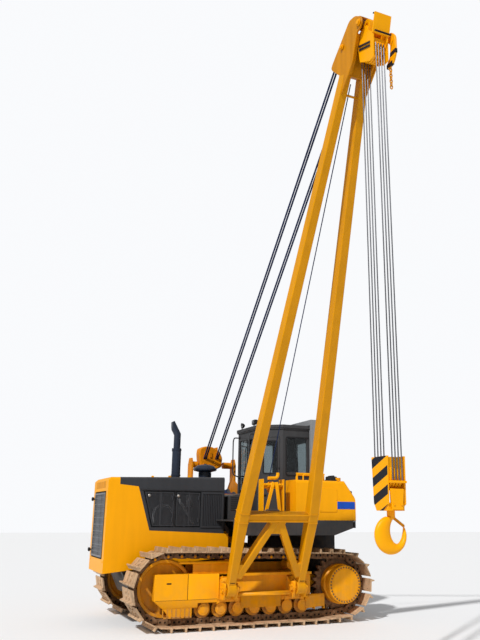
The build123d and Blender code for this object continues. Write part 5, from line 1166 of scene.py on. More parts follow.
def buildDoors(v):
    # Each door is a frame, a wire mesh that lets the engine show, two hinges and a round latch
    for name in v["doors"]:
        for side, label in ((1, "left"), (-1, "right")):
            y0, y1 = v["skin"] + 0.003, v["doorStand"] + 0.003
            outline, inner = doorOutline(v, name, v["clear"]), doorOutline(v, name, v["frame"])
            rear, low, _ = v["doors"][name]
            frameShape = ringPlate(outline, inner, "xz", y0, y1)
            front = name == "front"
            start, end = [(low if front else rear) + x for x in v["barFront" if front else "barRear"]]
            bar = brick((start, y0 + 0.001, v["doorLow"] + v["border"]),
                        (end, y1 - 0.002, v["doorHigh"] - v["border"]), 0.002)
            r, half, ahead = v["hinge"]
            hinges = [disc(r, -half, half, (rear + ahead, y1, z), (0, 0, 1), 10) for z in v["hingeZ"]]
            shape = join(frameShape, bar, *hinges)
            wire = plate(doorOutline(v, name, v["frame"] - 0.008), "xz", y0 + 0.002, y0 + 0.002 + v["meshDepth"],
                         0.001)
            x, z, r = v["latch"]
            latch = turned([(0.0, 0.0), (0.0, r), (0.010, r), (0.016, r * 0.6), (0.016, 0.0)],
                           (x if front else low - 0.05, y1 - 0.003, z), (0, 1, 0), 18)
            shape, wire, latch = onSide(shape, side), onSide(wire, side), onSide(latch, side)
            node = "engine_door_%s_%s" % (name, label)
            body = nodes[node]["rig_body"]
            piece("doorFrame.%s.%s" % (name, label), shape, looks["hoodGrey"], body, [node])
            piece("doorMesh.%s.%s" % (name, label), wire, looks["wireMesh"], body)
            piece("doorLatch.%s.%s" % (name, label), latch, looks["boltSteel"], body)


def buildHoodTrim(v):
    # Upright slats over the vent, a thin rail over the doors, and a brace and filters behind the mesh, lighter than
    # their own grey as painted light
    x0, x1, z0, z1 = v["vent"]
    parts, inside = [], []
    for side in (1, -1):
        shapes = []
        step = (x1 - x0) / v["slats"]
        for i in range(v["slats"]):
            x = x0 + step * i
            shapes.append(plate([(x + 0.004, v["skin"] - 0.002), (x + step * 0.72, v["skin"] - 0.002),
                                 (x + step * 0.86, v["skin"] + 0.012), (x + step * 0.70, v["skin"] + 0.013)],
                                "xy", z0, z1, 0.001))
        edge = v["border"]
        shapes.append(ringPlate(np.array(rectangle(x0 - edge, z0 - edge, x1 + edge, z1 + edge)),
                                np.array(rectangle(x0, z0, x1, z1)), "xz", v["skin"] - 0.002, v["skin"] + 0.014))
        shapes.append(brick((x0 - edge, v["skin"] - 0.002, v["rail"][0]),
                            (1.93, v["skin"] + 0.016, v["rail"][0] + v["rail"][1]), 0.002))
        whole = join(*shapes)
        parts.append(onSide(whole, side))
        (ax, az), (bx, bz) = v["strut"]
        bits = [beam((ax, v["strutY"], az), (bx, v["strutY"], bz), 0.05, 0.016, (0, 1, 0)),
                turned(v["bigFilter"], v["bigPlace"], (0, 0, 1), 20),
                turned(v["smallFilter"], v["smallPlace"], (0, 0, 1), 18), pipe(v["charge"], 0.025, 12, 0.1)]
        whole = join(*bits)
        inside.append(onSide(whole, side))
    piece("hoodTrim", join(*parts), looks["hoodGrey"])
    # The brace and filters take the lightened grey as painted light.
    piece("engineBits", join(*inside), looks["insideGreyPaintedLight"])


grilleValues = {
    "border": 0.030, "columns": 9, "rows": 17, "bar": 0.009, "inset": 0.02,
    "knobs": [(-0.505, 2.03), (-0.505, 1.16)], "plate": (-0.42, 0.42, 2.205, 2.315),
    "knob": [(-0.002, 0.0), (-0.002, 0.014), (0.024, 0.014), (0.024, 0.028), (0.030, 0.034), (0.052, 0.034),
             (0.060, 0.026), (0.060, 0.0)], "boltY": (-0.545, 0.545), "boltZ": (1.0, 1.35, 1.7, 2.05),
}


def buildGrille(v):
    # Border, upright and level bars crossing in a grid, an outer step and round knobs
    low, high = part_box("grille_door")
    x = high.x - 0.004
    body, inset = nodes["grille_door"]["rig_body"], v["inset"]
    lowZ, highZ, yLow, yHigh = low.z + inset, high.z - inset, low.y + inset, high.y - inset
    outer = np.array(rectangle(yLow, lowZ, yHigh, highZ))
    frameShape = ringPlate(outer, drawnIn(outer, v["border"]), "yz", x - 0.02, x + 0.012)
    ys = np.linspace(yLow + v["border"], yHigh - v["border"], v["columns"] + 2)[1:-1]
    zs = np.linspace(lowZ + v["border"], highZ - v["border"], v["rows"] + 2)[1:-1]
    b = v["bar"]
    uprights = copies(brick((x - 0.014, -b * 1.4, lowZ + inset), (x + 0.007, b * 1.4, highZ - inset), 0.002),
                      [placed((0, y, 0)) for y in ys])
    levels = copies(brick((x - 0.016, yLow + inset, -b), (x + 0.003, yHigh - inset, b), 0.002),
                    [placed((0, 0, z)) for z in zs])
    piece("grilleBars", join(frameShape, uprights, levels), looks["grilleGrey"], body)
    knobs = [turned(v["knob"], (x, y, z), (1, 0, 0), 20) for y, z in v["knobs"]]
    piece("grilleKnobs", join(*knobs), looks["rubber"], body)
    y0, y1, z0, z1 = v["plate"]
    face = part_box("hood_yellow")[1].x
    heads = bolts([(face - 0.001, y, z) for y in v["boltY"] for z in v["boltZ"]], (1, 0, 0), 0.011, 0.009)
    blank = plate(softened(rectangle(y0, z0, y1, z1), 0.012), "yz", face - 0.002, face + 0.003, 0.001)
    piece("noseBolts", heads, looks["machineYellow"])
    piece("noseBlank", blank, looks["wheelYellow"])


stackValues = {
    "x": 1.150, "y": 0.050, "low": 2.395, "can": 0.084, "bands": [2.47, 2.93], "foot": (0.125, 0.012),
    "stay": [2.9, 2.96], "cleanerY": 0.0, "fins": 30,
    "bowl": [(0.0, 0.02), (0.0, 0.124), (0.03, 0.126), (0.035, 0.110), (0.120, 0.108), (0.128, 0.118),
             (0.140, 0.150), (0.150, 0.196), (0.158, 0.214), (0.176, 0.222), (0.196, 0.221), (0.204, 0.212),
             (0.206, 0.200), (0.226, 0.186), (0.250, 0.150), (0.266, 0.090), (0.272, 0.030), (0.282, 0.028),
             (0.286, 0.0)], "fin": ((0.105, -0.003, 0.04), (0.121, 0.003, 0.118)),
    "lugs": [((1.235, -0.01, 2.395), (1.275, 0.05, 2.46)), ((1.035, 0.56, 2.37), (1.075, 0.585, 2.44)),
             ((1.70, 0.56, 2.35), (1.74, 0.585, 2.42))],
}


def buildStacks(v):
    # Bands and a foot flange round the exhaust; the cleaner is a turned bowl with a rim, a lid and a wing nut
    x, y = v["x"], v["y"]
    rings = [turned([(-0.014, v["can"] - 0.004), (-0.012, v["can"] + 0.005), (0.012, v["can"] + 0.005),
                     (0.014, v["can"] - 0.004)], (x, y, z), (0, 0, 1), 40) for z in v["bands"]]
    r, t = v["foot"]
    rings.append(disc(r, 0.0, t, (x, y, v["low"]), (0, 0, 1), 32))
    rings.append(bolts(ringPoints((x, y, v["low"] + t), r - 0.022, 6, (0, 0, 1)), (0, 0, 1), 0.010, 0.008))
    rings.append(pipe([(x + 0.085, y, z) for z in v["stay"]], 0.009, 8))
    piece("exhaustBands", join(*rings), looks["pipeBlue"])
    low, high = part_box("pre_cleaner")
    foot = ((low.x + high.x) / 2, v["cleanerY"], high.z - v["bowl"][-1][0])
    bowl = turned(v["bowl"], foot, (0, 0, 1), 56)
    fins = copies(brick(*v["fin"], 0.001), [placed(foot, (np.cos(a), np.sin(a), 0), (-np.sin(a), np.cos(a), 0))
                                            for a in np.linspace(0, 2 * np.pi, v["fins"], endpoint=False)])
    piece("cleanerBowl", join(bowl, fins), looks["pipeBlue"], hides=["pre_cleaner"])
    lugs = [brick(low, high, 0.004) for low, high in v["lugs"]]
    piece("hoodLugs", join(*lugs), looks["machineYellow"])


buildDoors(hoodValues)
buildHoodTrim(hoodValues)
buildGrille(grilleValues)
buildStacks(stackValues)
print("stage: hood")


# Cab, tank, lead frame and platform: seals, bars, lamps, panels and rails

cabValues = {
    "front": (-0.300, 0.500), "post": (-0.690, 0.800), "rearPost": (-1.440, 0.800), "rear": (-1.640, 0.600),
    "seal": 0.022, "sealOut": 0.007, "sideWindow": [(0.075, 2.50), (0.075, 3.19), (0.655, 3.19), (0.655, 2.50)],
    "doorWindow": [(0.120, 2.535), (0.120, 3.118), (0.372, 3.118), (0.372, 2.535)], "gutter": 3.372,
    "bar": [(-0.30, 3.27), (-0.185, 3.27), (-0.165, 3.20), (-0.165, 2.62), (-0.18, 2.54), (-0.30, 2.50)],
    "barY": (-0.44, 0.40), "barRadius": 0.0125, "lampX": -0.330, "lampZ": 3.515, "roundLamp": -0.385,
    "squareLamp": 0.235, "ribs": [0.03, 0.055], "ribZ": (2.62, 3.33), "handle": (0.075, 2.12),
    "lock": (0.42, 0.0, 2.62), "lockDrop": 0.62, "mullionY": (-0.36, 0.0, 0.36), "mullionZ": (2.17, 3.20),
    "wipers": [((0.012, -0.2, 2.2), (0.016, -0.05, 2.75), 0.006),
               ((0.014, -0.02, 2.45), (0.014, -0.08, 3.05), 0.005)], "hatch": (-1.25, -0.75, 0.28),
    "slats": (-1.2, -0.82, 9), "lampTurn": (1, -0.1, -0.15),
    "lampBowl": [(-0.055, 0.0), (-0.055, 0.02), (-0.03, 0.045), (0.0, 0.055), (0.012, 0.055), (0.014, 0.048),
                 (0.002, 0.044), (0.0, 0.0)],
    "lampLens": [(0.002, 0.0), (0.002, 0.044), (0.008, 0.03), (0.010, 0.0)],
}


def onWall(start, end, side=1):
    # A place whose x runs along the wall, y points out of it and z up
    (x0, y0), (x1, y1) = start, end
    d = unit((x1 - x0, side * (y1 - y0), 0.0))
    out = np.array((-d[1], d[0], 0.0))
    out *= np.sign(out @ (-0.2, side, 0.0)) or 1.0
    return placed((x0, side * y0, 0.0), d, out, (0, 0, 1))


def windowSeal(outline, v):
    # A soft-cornered band round a window outline, in the wall plane
    outer = softened(drawnIn(outline, -v["seal"]), 0.05, 5)
    inner = softened(drawnIn(outline, 0.004), 0.035, 5)
    return ringPlate(outer, inner, "xz", -0.004, v["sealOut"])


def buildCab(v):
    # Seals lie on the walls; gutter, fan cover, ribs, grab bars and two lamps go on roof and corner
    seals = []
    door = np.array(v["doorWindow"])
    side = np.array(v["sideWindow"])
    for k in (1, -1):
        wall = onWall(v["post"], v["rearPost"], k)
        seals.append(copies(windowSeal(side, v), [wall]))
        bevel = onWall(v["front"], v["post"], k)
        if k < 0:
            seals.append(copies(windowSeal(door, v), [bevel]))
        else:
            piece("doorSeal", copies(windowSeal(door, v), [bevel]), looks["rubber"], "cab_door")
            x, z = v["handle"]
            handle = join(brick((x, 0.0, z), (x + 0.10, 0.022, z + 0.03), 0.005),
                          copies(disc(0.012, 0, 0.022, v["lock"], (0, 1, 0), 12),
                                 [placed((0, 0, 0)), placed((0, 0, -v["lockDrop"]))]))
            piece("doorHandle", copies(handle, [bevel]), looks["rubber"], "cab_door")
    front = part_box("cab_shell")[1].x
    foot, top = v["mullionZ"]
    for y in v["mullionY"]:
        seals.append(brick((front - 0.004, y - 0.014, foot), (front + 0.006, y + 0.014, top), 0.002))
    wiper = [pipe([(front + x, y, z) for x, y, z in ends], r, 6) for *ends, r in v["wipers"]]
    piece("windowSeals", join(*seals, *wiper), looks["rubber"])
    z = v["gutter"]
    loop = np.array([v["front"], v["post"], v["rearPost"], v["rear"]])
    loop = np.concatenate([loop, loop[::-1] * (1, -1)])
    rail = ringPlate(drawnIn(loop, -0.022), drawnIn(loop, 0.01), "xy", z - 0.022, z + 0.004)
    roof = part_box("cab_roof")[1].z
    start, end, half = v["hatch"]
    fan = [brick((start, -half, roof - 0.004), (end, half, roof + 0.03), 0.012)]
    half -= 0.04
    fan += [brick((x, -half, roof + 0.026), (x + 0.02, half, roof + 0.036),
                  0.003) for x in np.linspace(*v["slats"])]
    low, high = v["ribZ"]
    ribs = [copies(brick((s, -0.004, low), (s + 0.010, 0.010, high), 0.003), [onWall(v["front"], v["post"], 1)])
            for s in v["ribs"]]
    piece("cabGutters", join(rail, *fan, *ribs), looks["cabGrey"], bevel=0.002)
    bars = [pipe([(x, y, z) for x, z in v["bar"]], v["barRadius"], 10, 0.05) for y in v["barY"]]
    feet = [disc(0.026, -0.006, 0.008, (front, y, z), (1, 0, 0), 12)
            for y in v["barY"] for z in (v["bar"][0][1], v["bar"][-1][1])]
    piece("grabBars", join(*bars, *feet), looks["cabGrey"])
    x, z = v["lampX"], v["lampZ"]
    top = roof - 0.004
    y = v["roundLamp"]
    shapes = [pipe([(x, y, top), (x, y, z - 0.03)], 0.012, 8),
              turned(v["lampBowl"], (x, y, z), unit(v["lampTurn"]), 24)]
    y = v["squareLamp"]
    shapes += [pipe([(x, y, top), (x, y, z - 0.02)], 0.012, 8),
               brick((x - 0.05, y - 0.07, z - 0.045), (x + 0.02, y + 0.07, z + 0.05), 0.012)]
    piece("lampBodies", join(*shapes), looks["rubber"], hides=["lamps"])
    lenses = [brick((x + 0.018, y - 0.058, z - 0.034), (x + 0.026, y + 0.058, z + 0.039), 0.004),
              turned(v["lampLens"], (x, v["roundLamp"], z), unit(v["lampTurn"]), 24)]
    piece("lampLenses", join(*lenses), looks["chrome"])


tankValues = {
    "top": 2.39, "panel": [(-1.526, 1.835), (-1.526, 2.262), (-1.154, 2.262), (-1.154, 1.835)],
    "blank": (-1.895, -1.438, 1.89, 2.02), "boltX": (-1.50, -1.18), "boltZ": (1.87, 2.05, 2.23),
    "seamFoot": 1.71, "lamp": ((-1.905, 1.12, 2.13), (-1.845, 1.24, 2.22)),
    "lampStay": [(-1.86, 1.18, 2.02), (-1.86, 1.18, 2.14)], "cap": (-1.52, 1.15, 0.125, 0.085),
    "rail": [(-0.86, 2.385), (-0.86, 2.49), (-1.26, 2.49), (-1.26, 2.385)], "railY": (1.02, 1.30),
    "seams": [-1.10, -1.56],
}


def buildTank(v):
    # A blank band, a bolted panel, seams, a stepped cap and two rails
    low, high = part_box("fuel_tank")
    y, top = high.y, v["top"]
    x0, x1, z0, z1 = v["blank"]
    blank = [plate(softened(rectangle(x0, z0, x1, z1), 0.01), "xz", y - 0.002, y + 0.004, 0.001),
             brick((low.x - 0.004, low.y + 0.06, z0), (low.x + 0.002, high.y - 0.02, z1), 0.001)]
    piece("tankBlank", join(*blank), looks["bandBlue"])
    outline = softened(v["panel"], 0.03, 4)
    door = [plate(outline, "xz", y - 0.002, y + 0.008, 0.004)]
    door += [bolts([(x, y + 0.007, z) for x in v["boltX"] for z in v["boltZ"]], (0, 1, 0), 0.009, 0.007)]
    door += [brick((x - 0.006, low.y + 0.004, top - 0.004), (x + 0.006, high.y - 0.004, top + 0.006), 0.002)
             for x in v["seams"]]
    x = v["seams"][0]
    door.append(brick((x - 0.006, y - 0.004, v["seamFoot"]), (x + 0.006, y + 0.006, top - 0.04), 0.002))
    piece("tankPanels", join(*door), looks["machineYellow"])
    cx, cy, r, h = v["cap"]
    cap = turned([(0, 0.0), (0, r), (h * 0.3, r), (h * 0.35, r * 0.86), (h * 0.9, r * 0.84), (h, r * 0.74),
                  (h, 0.0)],
                 (cx, cy, top - 0.002), (0, 0, 1), 36)
    strap = brick((cx - 0.02, cy - r * 0.7, top + h - 0.004), (cx + 0.02, cy + r * 0.7, top + h + 0.016), 0.005)
    lamp = [brick(*v["lamp"], 0.012), pipe(v["lampStay"], 0.010, 8)]
    piece("tankCap", join(cap, strap, *lamp), looks["rubber"])
    rails = [pipe([(x, yy, z) for x, z in v["rail"]], 0.013, 10, 0.045) for yy in v["railY"]]
    piece("tankRails", join(*rails), looks["machineYellow"])


leadValues = {
    "y": 1.150, "pipe": [(-0.20, 2.405), (-0.36, 2.410), (-0.392, 2.450), (-0.392, 2.505)], "pipeRadius": 0.030,
    "brace": [((-0.13, 1.71), (-0.30, 2.34)), ((-0.44, 1.71), (-0.36, 2.34))], "braceY": 1.238,
    "pipeOut": 0.075, "boltX": (-0.13, -0.44), "boltY": 1.246, "boltZ": (1.78, 2.30),
}


def buildLead(v):
    # A bent rope guide and two flat braces from the deck to the frame
    shapes = [pipe([(x, v["y"] + v["pipeOut"], z) for x, z in v["pipe"]], v["pipeRadius"], 14, 0.05)]
    for (x0, z0), (x1, z1) in v["brace"]:
        shapes.append(beam((x0, v["braceY"], z0), (x1, v["braceY"], z1), 0.06, 0.018, (0, 1, 0), 0.003))
    shapes.append(bolts([(x, v["boltY"], z) for x in v["boltX"] for z in v["boltZ"]], (0, 1, 0), 0.014, 0.01))
    piece("leadBraces", join(*shapes), looks["machineYellow"])


deckValues = {
    "treads": [(-1.86, -0.72, 1.36, 1.48), (-0.62, -0.10, 0.86, 1.44)], "z": 1.690, "tread": 0.004,
    "steps": (0.055, 0.045), "turn": 0.8, "vents": (0.05, 0.26, 1.86, 2.08, 7), "ventY": 0.602,
    "grip": [(-0.05, 1.69), (-0.05, 1.86), (-0.32, 1.86), (-0.32, 1.69)], "gripY": 1.46,
}


def buildDeck(v):
    # Rows of small raised bars on the platform's walking strips, and slits beside the cowl
    tiles = []
    for k in (1, -1):
        for x0, x1, y0, y1 in v["treads"]:
            nx, ny = int((x1 - x0) / v["steps"][0]), max(2, int((y1 - y0) / v["steps"][1]))
            gx, gy = np.meshgrid(np.linspace(x0 + 0.02, x1 - 0.02, nx), np.linspace(y0 + 0.015, y1 - 0.015, ny))
            turn = np.where((np.indices(gx.shape).sum(0) % 2).ravel(), v["turn"], -v["turn"])
            for a in (v["turn"], -v["turn"]):
                spots = np.stack([gx.ravel(), k * gy.ravel()], 1)[turn == a]
                tiles.append(copies(brick((-0.014, -0.0035, -0.001), (0.014, 0.0035, v["tread"]), 0.0008),
                                    [placed((p[0], p[1], v["z"]), (np.cos(a), np.sin(a), 0),
                                            (-np.sin(a), np.cos(a), 0))
                                     for p in spots]))
    piece("deckTreads", join(*tiles), looks["deckBlack"])
    x0, x1, z0, z1, n = v["vents"]
    slits = [brick((x0, k * v["ventY"] - 0.006, z - 0.008), (x1, k * v["ventY"] + 0.006, z + 0.008), 0.003)
             for k in (1, -1) for z in np.linspace(z0, z1, n)]
    piece("cowlVents", join(*slits), looks["deckBlack"])
    grip = pipe([(x, v["gripY"], z) for x, z in v["grip"]], 0.013, 10, 0.05)
    piece("deckGrips", grip, looks["cabGrey"])


seatValues = {
    "base": (-1.075, 0.0, 2.335), "baseHalf": (0.225, 0.245, 0.085), "back": (-1.262, 0.0, 2.640),
    "backHalf": (0.056, 0.225, 0.255), "fullness": 0.22, "fill": 0.7,
    "post": [(-1.262, 0.0, 2.40), (-1.262, 0.0, 2.30)], "square": 0.38, "channels": (-0.115, 0.115),
    "channelDepth": 0.010, "channelWidth": 0.008, "foot": (-1.25, -0.90, 0.17, 1.875, 2.26),
    "slide": (-1.30, -0.86, 0.15, 0.025),
}


def pad(centre, half, thin, v):
    # A rounded box by signed powers of sine and cosine, fuller in the middle, with sewn channels
    up = np.linspace(-np.pi / 2, np.pi / 2, 33)[:, None]
    turn = np.linspace(0, 2 * np.pi, 56, endpoint=False)[None, :]
    power = lambda x: np.sign(x) * np.abs(x) ** v["square"]
    p = np.stack([power(np.cos(up)) * power(np.cos(turn)), power(np.cos(up)) * power(np.sin(turn)),
                  power(np.sin(up)) * np.ones_like(turn)], -1)
    wide = [k for k in range(3) if k != thin]
    p[..., thin] *= 1 - v["fullness"] * (p[..., wide[0]] ** 2 + p[..., wide[1]] ** 2) / 2
    p *= np.array(half)
    for y in v["channels"]:
        groove = np.exp(-((p[..., 1] - y) / v["channelWidth"]) ** 2)
        p[..., thin] -= np.sign(p[..., thin]) * v["channelDepth"] * groove
    return shell(p + np.array(centre))


def buildSeat(v):
    # Padded cushion and back over a boxed foot and two slides
    for name, centre, half, thin in (("seatCushion", v["base"], v["baseHalf"], 2),
                                     ("seatBack", v["back"], v["backHalf"], 0)):
        soft = piece(name, pad(centre, half, thin, v), looks["seatCloth"], hides=["seat"],
                     smooth=70)
    x0, x1, h, z0, z1 = v["foot"]
    s0, s1, y, r = v["slide"]
    shapes = [brick((x0, -h, z0 + 0.05), (x1, h, z1), 0.02)]
    shapes += [brick((s0, k * y - r, z0 - 0.003), (s1, k * y + r, z0 + 0.055), 0.006) for k in (-1, 1)]
    shapes.append(pipe(v["post"], 0.05, 16))
    piece("seatFoot", join(*shapes), looks["consoleBlack"])


buildSeat(seatValues)
buildCab(cabValues)
buildTank(tankValues)
buildLead(leadValues)
buildDeck(deckValues)
print("stage: cab, tank and platform")


# Winch, hoist housing and counterweight

winchValues = {
    "drums": [(-0.940, 2.060), (-1.290, 2.130)], "x": (-0.36, 0.44), "core": 0.128, "rope": 0.0125,
    "lay": 0.0245, "plateX": (-0.440, 0.520), "bossBolts": 0.08,
    "boss": [(-0.01, 0.0), (-0.01, 0.105), (0.02, 0.105), (0.024, 0.098), (0.024, 0.06), (0.04, 0.055),
             (0.04, 0.0)],
    "house": [(-0.130, 2.72), (-0.150, 2.90), (-0.105, 3.00), (0.0, 3.09), (0.10, 3.128), (0.24, 3.130),
              (0.345, 3.085), (0.358, 2.98), (0.330, 2.72), (0.23, 2.665), (0.0, 2.665)],
    "houseY": (-1.220, -0.990), "notches": [0.0, 0.115, 0.23], "notch": (0.040, 0.12),
    "pin": (0.085, 2.76, 0.052), "pinY": -1.1, "notchTop": 3.02, "finZ": (3.05, 3.122),
    "bolts": ([-0.08, 0.02, 0.14, 0.26], 2.77),
    "hanger": [(-1.16, 2.78), (-1.16, 2.68), (-1.13, 2.64), (-1.07, 2.64), (-1.04, 2.68), (-1.04, 2.78)],
}


def buildWinch(v):
    # Wound rope is one pipe a turn, then a rim of bosses and bolts on the side plates
    x0, x1 = v["x"]
    count = int((x1 - x0) / v["lay"])
    t = np.linspace(0, count, count * 20 + 1)
    wound = []
    for y, z in v["drums"]:
        a, r = t * 2 * np.pi, v["core"] + v["rope"]
        path = np.stack([x0 + 0.02 + (x1 - x0 - 0.04) * t / count, y + r * np.cos(a), z + r * np.sin(a)], 1)
        wound.append(pipe(path, v["rope"], 8))
    piece("woundRope", join(*wound), looks["hoistRope"], smooth=80)
    bosses = []
    for y, z in v["drums"]:
        for x, k in ((v["plateX"][0], -1), (v["plateX"][1], 1)):
            bosses.append(turned(v["boss"], (x, y, z), (k, 0, 0), 32))
            bosses.append(bolts(ringPoints((x + k * 0.022, y, z), v["bossBolts"], 8, (1, 0, 0)), (k, 0, 0), 0.010,
                                0.008))
    piece("winchBosses", join(*bosses), looks["machineYellow"])
    outline = softened(v["house"], 0.03, 4)
    back, front = v["houseY"]
    shapes = [plate(outline, "xz", back, front, 0.022)]
    w, h = v["notch"]
    for x in v["notches"]:
        top, (low, high) = v["notchTop"], v["finZ"]
        shapes.append(brick((x - w / 2, front - 0.004, top - h), (x + w / 2, front + 0.024, top), 0.010))
        shapes.append(brick((x - w / 2 - 0.02, back + 0.03, low), (x - w / 2, front - 0.01, high), 0.006))
    across, z = v["bolts"]
    shapes.append(bolts([(x, front, z) for x in across], (0, 1, 0), 0.014, 0.012))
    x, z, r = v["pin"]
    shapes.append(disc(r, -0.15, 0.15, (x, v["pinY"], z), (1, 0, 0), 24))
    shapes.append(plate(v["hanger"], "yz", x - 0.06, x + 0.06, 0.006))
    # The housing takes the darkened orange as painted shade.
    piece("hoistHouse", join(*shapes), looks["hoistShadeOrange"], "hoist_block", ["hoist_block"])


weightValues = {
    "seams": [1.25, 1.50, 1.75], "bolts": [(-0.62, 1.12), (-0.62, 1.85), (0.80, 1.12), (0.80, 1.85)],
}


def buildWeight(v):
    # Thin seams across the outer face and bolts at its corners
    low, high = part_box("counterweight")
    y = low.y
    shapes = [brick((low.x + 0.03, y - 0.004, z - 0.006), (high.x - 0.03, y + 0.004, z + 0.006), 0.002)
              for z in v["seams"]]
    shapes.append(bolts([(x, y + 0.002, z) for x, z in v["bolts"]], (0, -1, 0), 0.024, 0.018))
    piece("weightSeams", join(*shapes), looks["frameYellow"], "counterweight")


buildWinch(winchValues)
buildWeight(weightValues)
print("stage: winch and counterweight")


# Ropes

ropeValues = {
    "falls": 4, "fallStep": 0.045, "fallReach": 0.19, "fallLow": 2.19, "fallRadius": 0.009, "fallPitch": 0.13,
    "hoistX": 0.127, "hoistTwin": 0.021, "hoistShift": 0.105, "hoistSplit": (0.80, 0.88), "endShare": 0.97,
    "hoistBack": 0.26, "hoistRadius": 0.0165, "hoistEnd": (4.500, 8.588), "hoistPitch": 0.19,
    "lineRadius": 0.009,
}


def buildRopes(v):
    # Falls stretch between the two blocks; the hoist ropes are split into a lower and an upper part
    low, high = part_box("falls")
    y, top = (low.y + high.y) / 2, high.z
    across = (np.arange(v["falls"]) - (v["falls"] - 1) / 2) * v["fallStep"]
    lines = [rope((x, y + k * v["fallReach"], v["fallLow"]), (x, y + k * v["fallReach"], top), v["fallRadius"],
                  v["fallPitch"]) for x in across for k in (-1, 1)]
    falls = piece("loadFalls", join(*lines), looks["loadRope"], None, ["falls"], smooth=80)
    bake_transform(falls)
    foot = endsOf("hoist_ropes")[0]
    lines, ends = [], []
    fromTop, toTop = v["hoistSplit"]
    for x in (-v["hoistX"], v["hoistX"]):
        for k in (-1, 1):
            dx = x + k * v["hoistTwin"]
            a, b = np.array((dx + v["hoistShift"], foot[1], foot[2])), np.array((dx, *v["hoistEnd"]))
            a = a - unit(b - a) * v["hoistBack"]
            lines.append(rope(a, a + (b - a) * toTop, v["hoistRadius"], v["hoistPitch"]))
            ends.append(rope(a + (b - a) * fromTop, b, v["hoistRadius"] * v["endShare"], v["hoistPitch"]))
    piece("hoistFalls", join(*lines), looks["hoistRope"], "hoist_block", ["hoist_ropes"],
          smooth=80)
    piece("hoistFallEnds", join(*ends), looks["hoistRope"], "boom", smooth=80)
    foot, head = endsOf("load_line")
    piece("loadLineRope", rope(foot, head, v["lineRadius"], v["fallPitch"]), looks["hoistRope"], "load_line",
          ["load_line"], smooth=80)


ropeSlope = {"y": 0.68, "z": 0.73, "endZone": 0.03}


def endsOf(node):
    # Middle of the lowest and of the highest end of a packed rope, measured along the ropes' slope
    co = np.empty(len(nodes[node].data.vertices) * 3)
    nodes[node].data.vertices.foreach_get("co", co)
    co = co.reshape(-1, 3)
    s, zone = co[:, 1] * ropeSlope["y"] + co[:, 2] * ropeSlope["z"], ropeSlope["endZone"]
    low, high = co[s < s.min() + zone], co[s > s.max() - zone]
    return (low.min(0) + low.max(0)) / 2, (high.min(0) + high.max(0)) / 2


buildRopes(ropeValues)
print("stage: ropes")


# What is left of the imported solids keeps its shape and gets a finish; all but the track frames and main frame
# also get eased edges

plain = {
    "track_frame_left": ("frameYellow", "yellow_paint"), "track_frame_right": ("frameYellow", "yellow_paint"),
    "front_cover_left": ("machineYellow", "yellow_paint"),
    "front_cover_right": ("machineYellow", "yellow_paint"), "main_frame": ("deckBlack", "dark_grey_paint"),
    "engine": ("castGrey", "cast_grey"), "radiator": ("deckBlack", "black_paint"),
    "hood_dark": ("hoodGrey", "dark_grey_paint"), "hood_yellow": ("machineYellow", "yellow_paint"),
    # The grille door behind the bars takes the near-black of holes, darker than its own black paint: painted shade.
    "grille_door": ("holeShadeAndSeams", "black_paint"), "exhaust": ("pipeBlue", "black_paint"),
    "cowl": ("cabGrey", "dark_grey_paint"), "platform": ("cabGrey", "dark_grey_paint"),
    "cab_shell": ("cabGrey", "dark_grey_paint"), "cab_roof": ("cabGrey", "dark_grey_paint"),
    "cab_door": ("cabGrey", "dark_grey_paint"), "rops": ("postGrey", "light_grey_paint"),
    "consoles": ("consoleBlack", "console_plastic"), "fuel_tank": ("machineYellow", "yellow_paint"),
    # The winch frame takes the darkened orange as painted shade.
    "side_box_right": ("machineYellow", "yellow_paint"), "winch_frame": ("hoistShadeOrange", "yellow_paint"),
    "winch_drums": ("castGrey", "cast_grey"), "lead_frame": ("machineYellow", "yellow_paint"),
    "upper_block": ("machineYellow", "yellow_paint"), "hook_block": ("machineYellow", "yellow_paint"),
    "counterweight": ("machineYellow", "yellow_paint"), "weight_barrel": ("deckBlack", "black_paint"),
    "weight_rod": ("chrome", "cast_grey"),
}
for name, (look, slotName) in plain.items():
    plainShell = name.startswith("track_frame") or name == "main_frame"
    dressed(name, looks[look], 0.0 if plainShell else 0.005, flat=not plainShell,
            side=looks["hookStripes"] if name == "hook_block" else None)
for name in ("cab_glass", "cab_door_pane"):
    nodes[name].data.materials.clear()
    nodes[name].data.materials.append(looks["tintedGlass"])
print("stage: packed solids dressed")


# Floor, light and camera

stageValues = {
    "floorHalf": 60.0, "floorGrey": 0.86, "floorRough": 0.7, "sky": (0.97, 0.98, 1.0), "sunPower": 3.1,
    "fill": 0.42, "seen": 0.98, "sunTurn": (46.0, 0.0, 128.0), "sunAngle": 2.0,
}


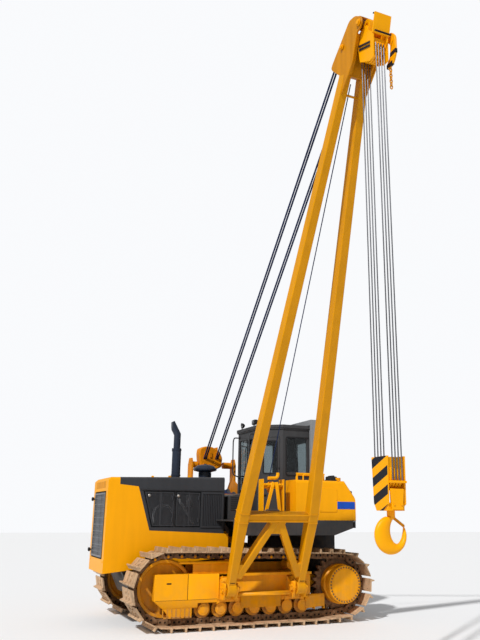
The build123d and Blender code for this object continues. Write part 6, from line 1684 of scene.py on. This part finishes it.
def buildStage(v):
    # A pale floor, a sky that lights less than it shows, and one sun
    h = v["floorHalf"]
    mesh = bpy.data.meshes.new("floor")
    mesh.from_pydata([(x, y, 0) for x, y in rectangle(-h, -h, h, h)], [], [(0, 1, 2, 3)])
    floor = bpy.data.objects.new("floor", mesh)
    bpy.context.scene.collection.objects.link(floor)
    m = bpy.data.materials.new("paleFloor")
    m.use_nodes = True
    shader = m.node_tree.nodes["Principled BSDF"]
    shader.inputs["Base Color"].default_value = (v["floorGrey"],) * 3 + (1,)
    shader.inputs["Roughness"].default_value = v["floorRough"]
    mesh.materials.append(m)
    world = bpy.data.worlds.new("studio")
    bpy.context.scene.world = world
    world.use_nodes = True
    back = world.node_tree.nodes["Background"]
    back.inputs["Color"].default_value = v["sky"] + (1,)
    t = world.node_tree
    seen = put(t, "ShaderNodeMapRange", {"Value": put(t, "ShaderNodeLightPath").outputs["Is Camera Ray"]})
    seen.inputs["To Min"].default_value, seen.inputs["To Max"].default_value = v["fill"], v["seen"]
    t.links.new(seen.outputs[0], back.inputs["Strength"])
    sun = bpy.data.lights.new("sun", "SUN")
    sun.energy, sun.angle = v["sunPower"], np.radians(v["sunAngle"])
    lamp = bpy.data.objects.new("sun", sun)
    lamp.rotation_euler = np.radians(v["sunTurn"])
    bpy.context.scene.collection.objects.link(lamp)


# Focal length, picture centre and picture size are in pixels of the photograph
cameraValues = {
    "place": (4.8944, 12.6914, 1.7647), "yaw": 0.418, "pitch": 0.2763, "roll": 0.0086, "focal": 689.64,
    "centre": (269.34, 320.1), "picture": (480, 640), "sensor": 36,
}


def buildCamera(v):
    # Lens and shift from the focal length and centre in pixels; the axes from yaw, pitch and roll
    yaw, pitch, roll = v["yaw"], v["pitch"], v["roll"]
    d = np.array((-np.sin(yaw) * np.cos(pitch), -np.cos(yaw) * np.cos(pitch), np.sin(pitch)))
    r = unit(np.cross(d, (0, 0, 1)))
    u = np.cross(r, d)
    right, up = r * np.cos(roll) + u * np.sin(roll), u * np.cos(roll) - r * np.sin(roll)
    data = bpy.data.cameras.new("camera")
    wide, tall = v["picture"]
    data.lens, data.sensor_width = v["focal"] / tall * v["sensor"], v["sensor"]
    data.shift_x, data.shift_y = (wide / 2 - v["centre"][0]) / tall, (v["centre"][1] - tall / 2) / tall
    data.clip_end = 500
    camera = bpy.data.objects.new("camera", data)
    camera.matrix_world = Matrix(placed(v["place"], right, up, -d).tolist())
    bpy.context.scene.collection.objects.link(camera)
    bpy.context.scene.camera = camera


buildStage(stageValues)
buildCamera(cameraValues)
bpy.context.scene.view_settings.view_transform = "Standard"
print("stage: floor, light and camera")
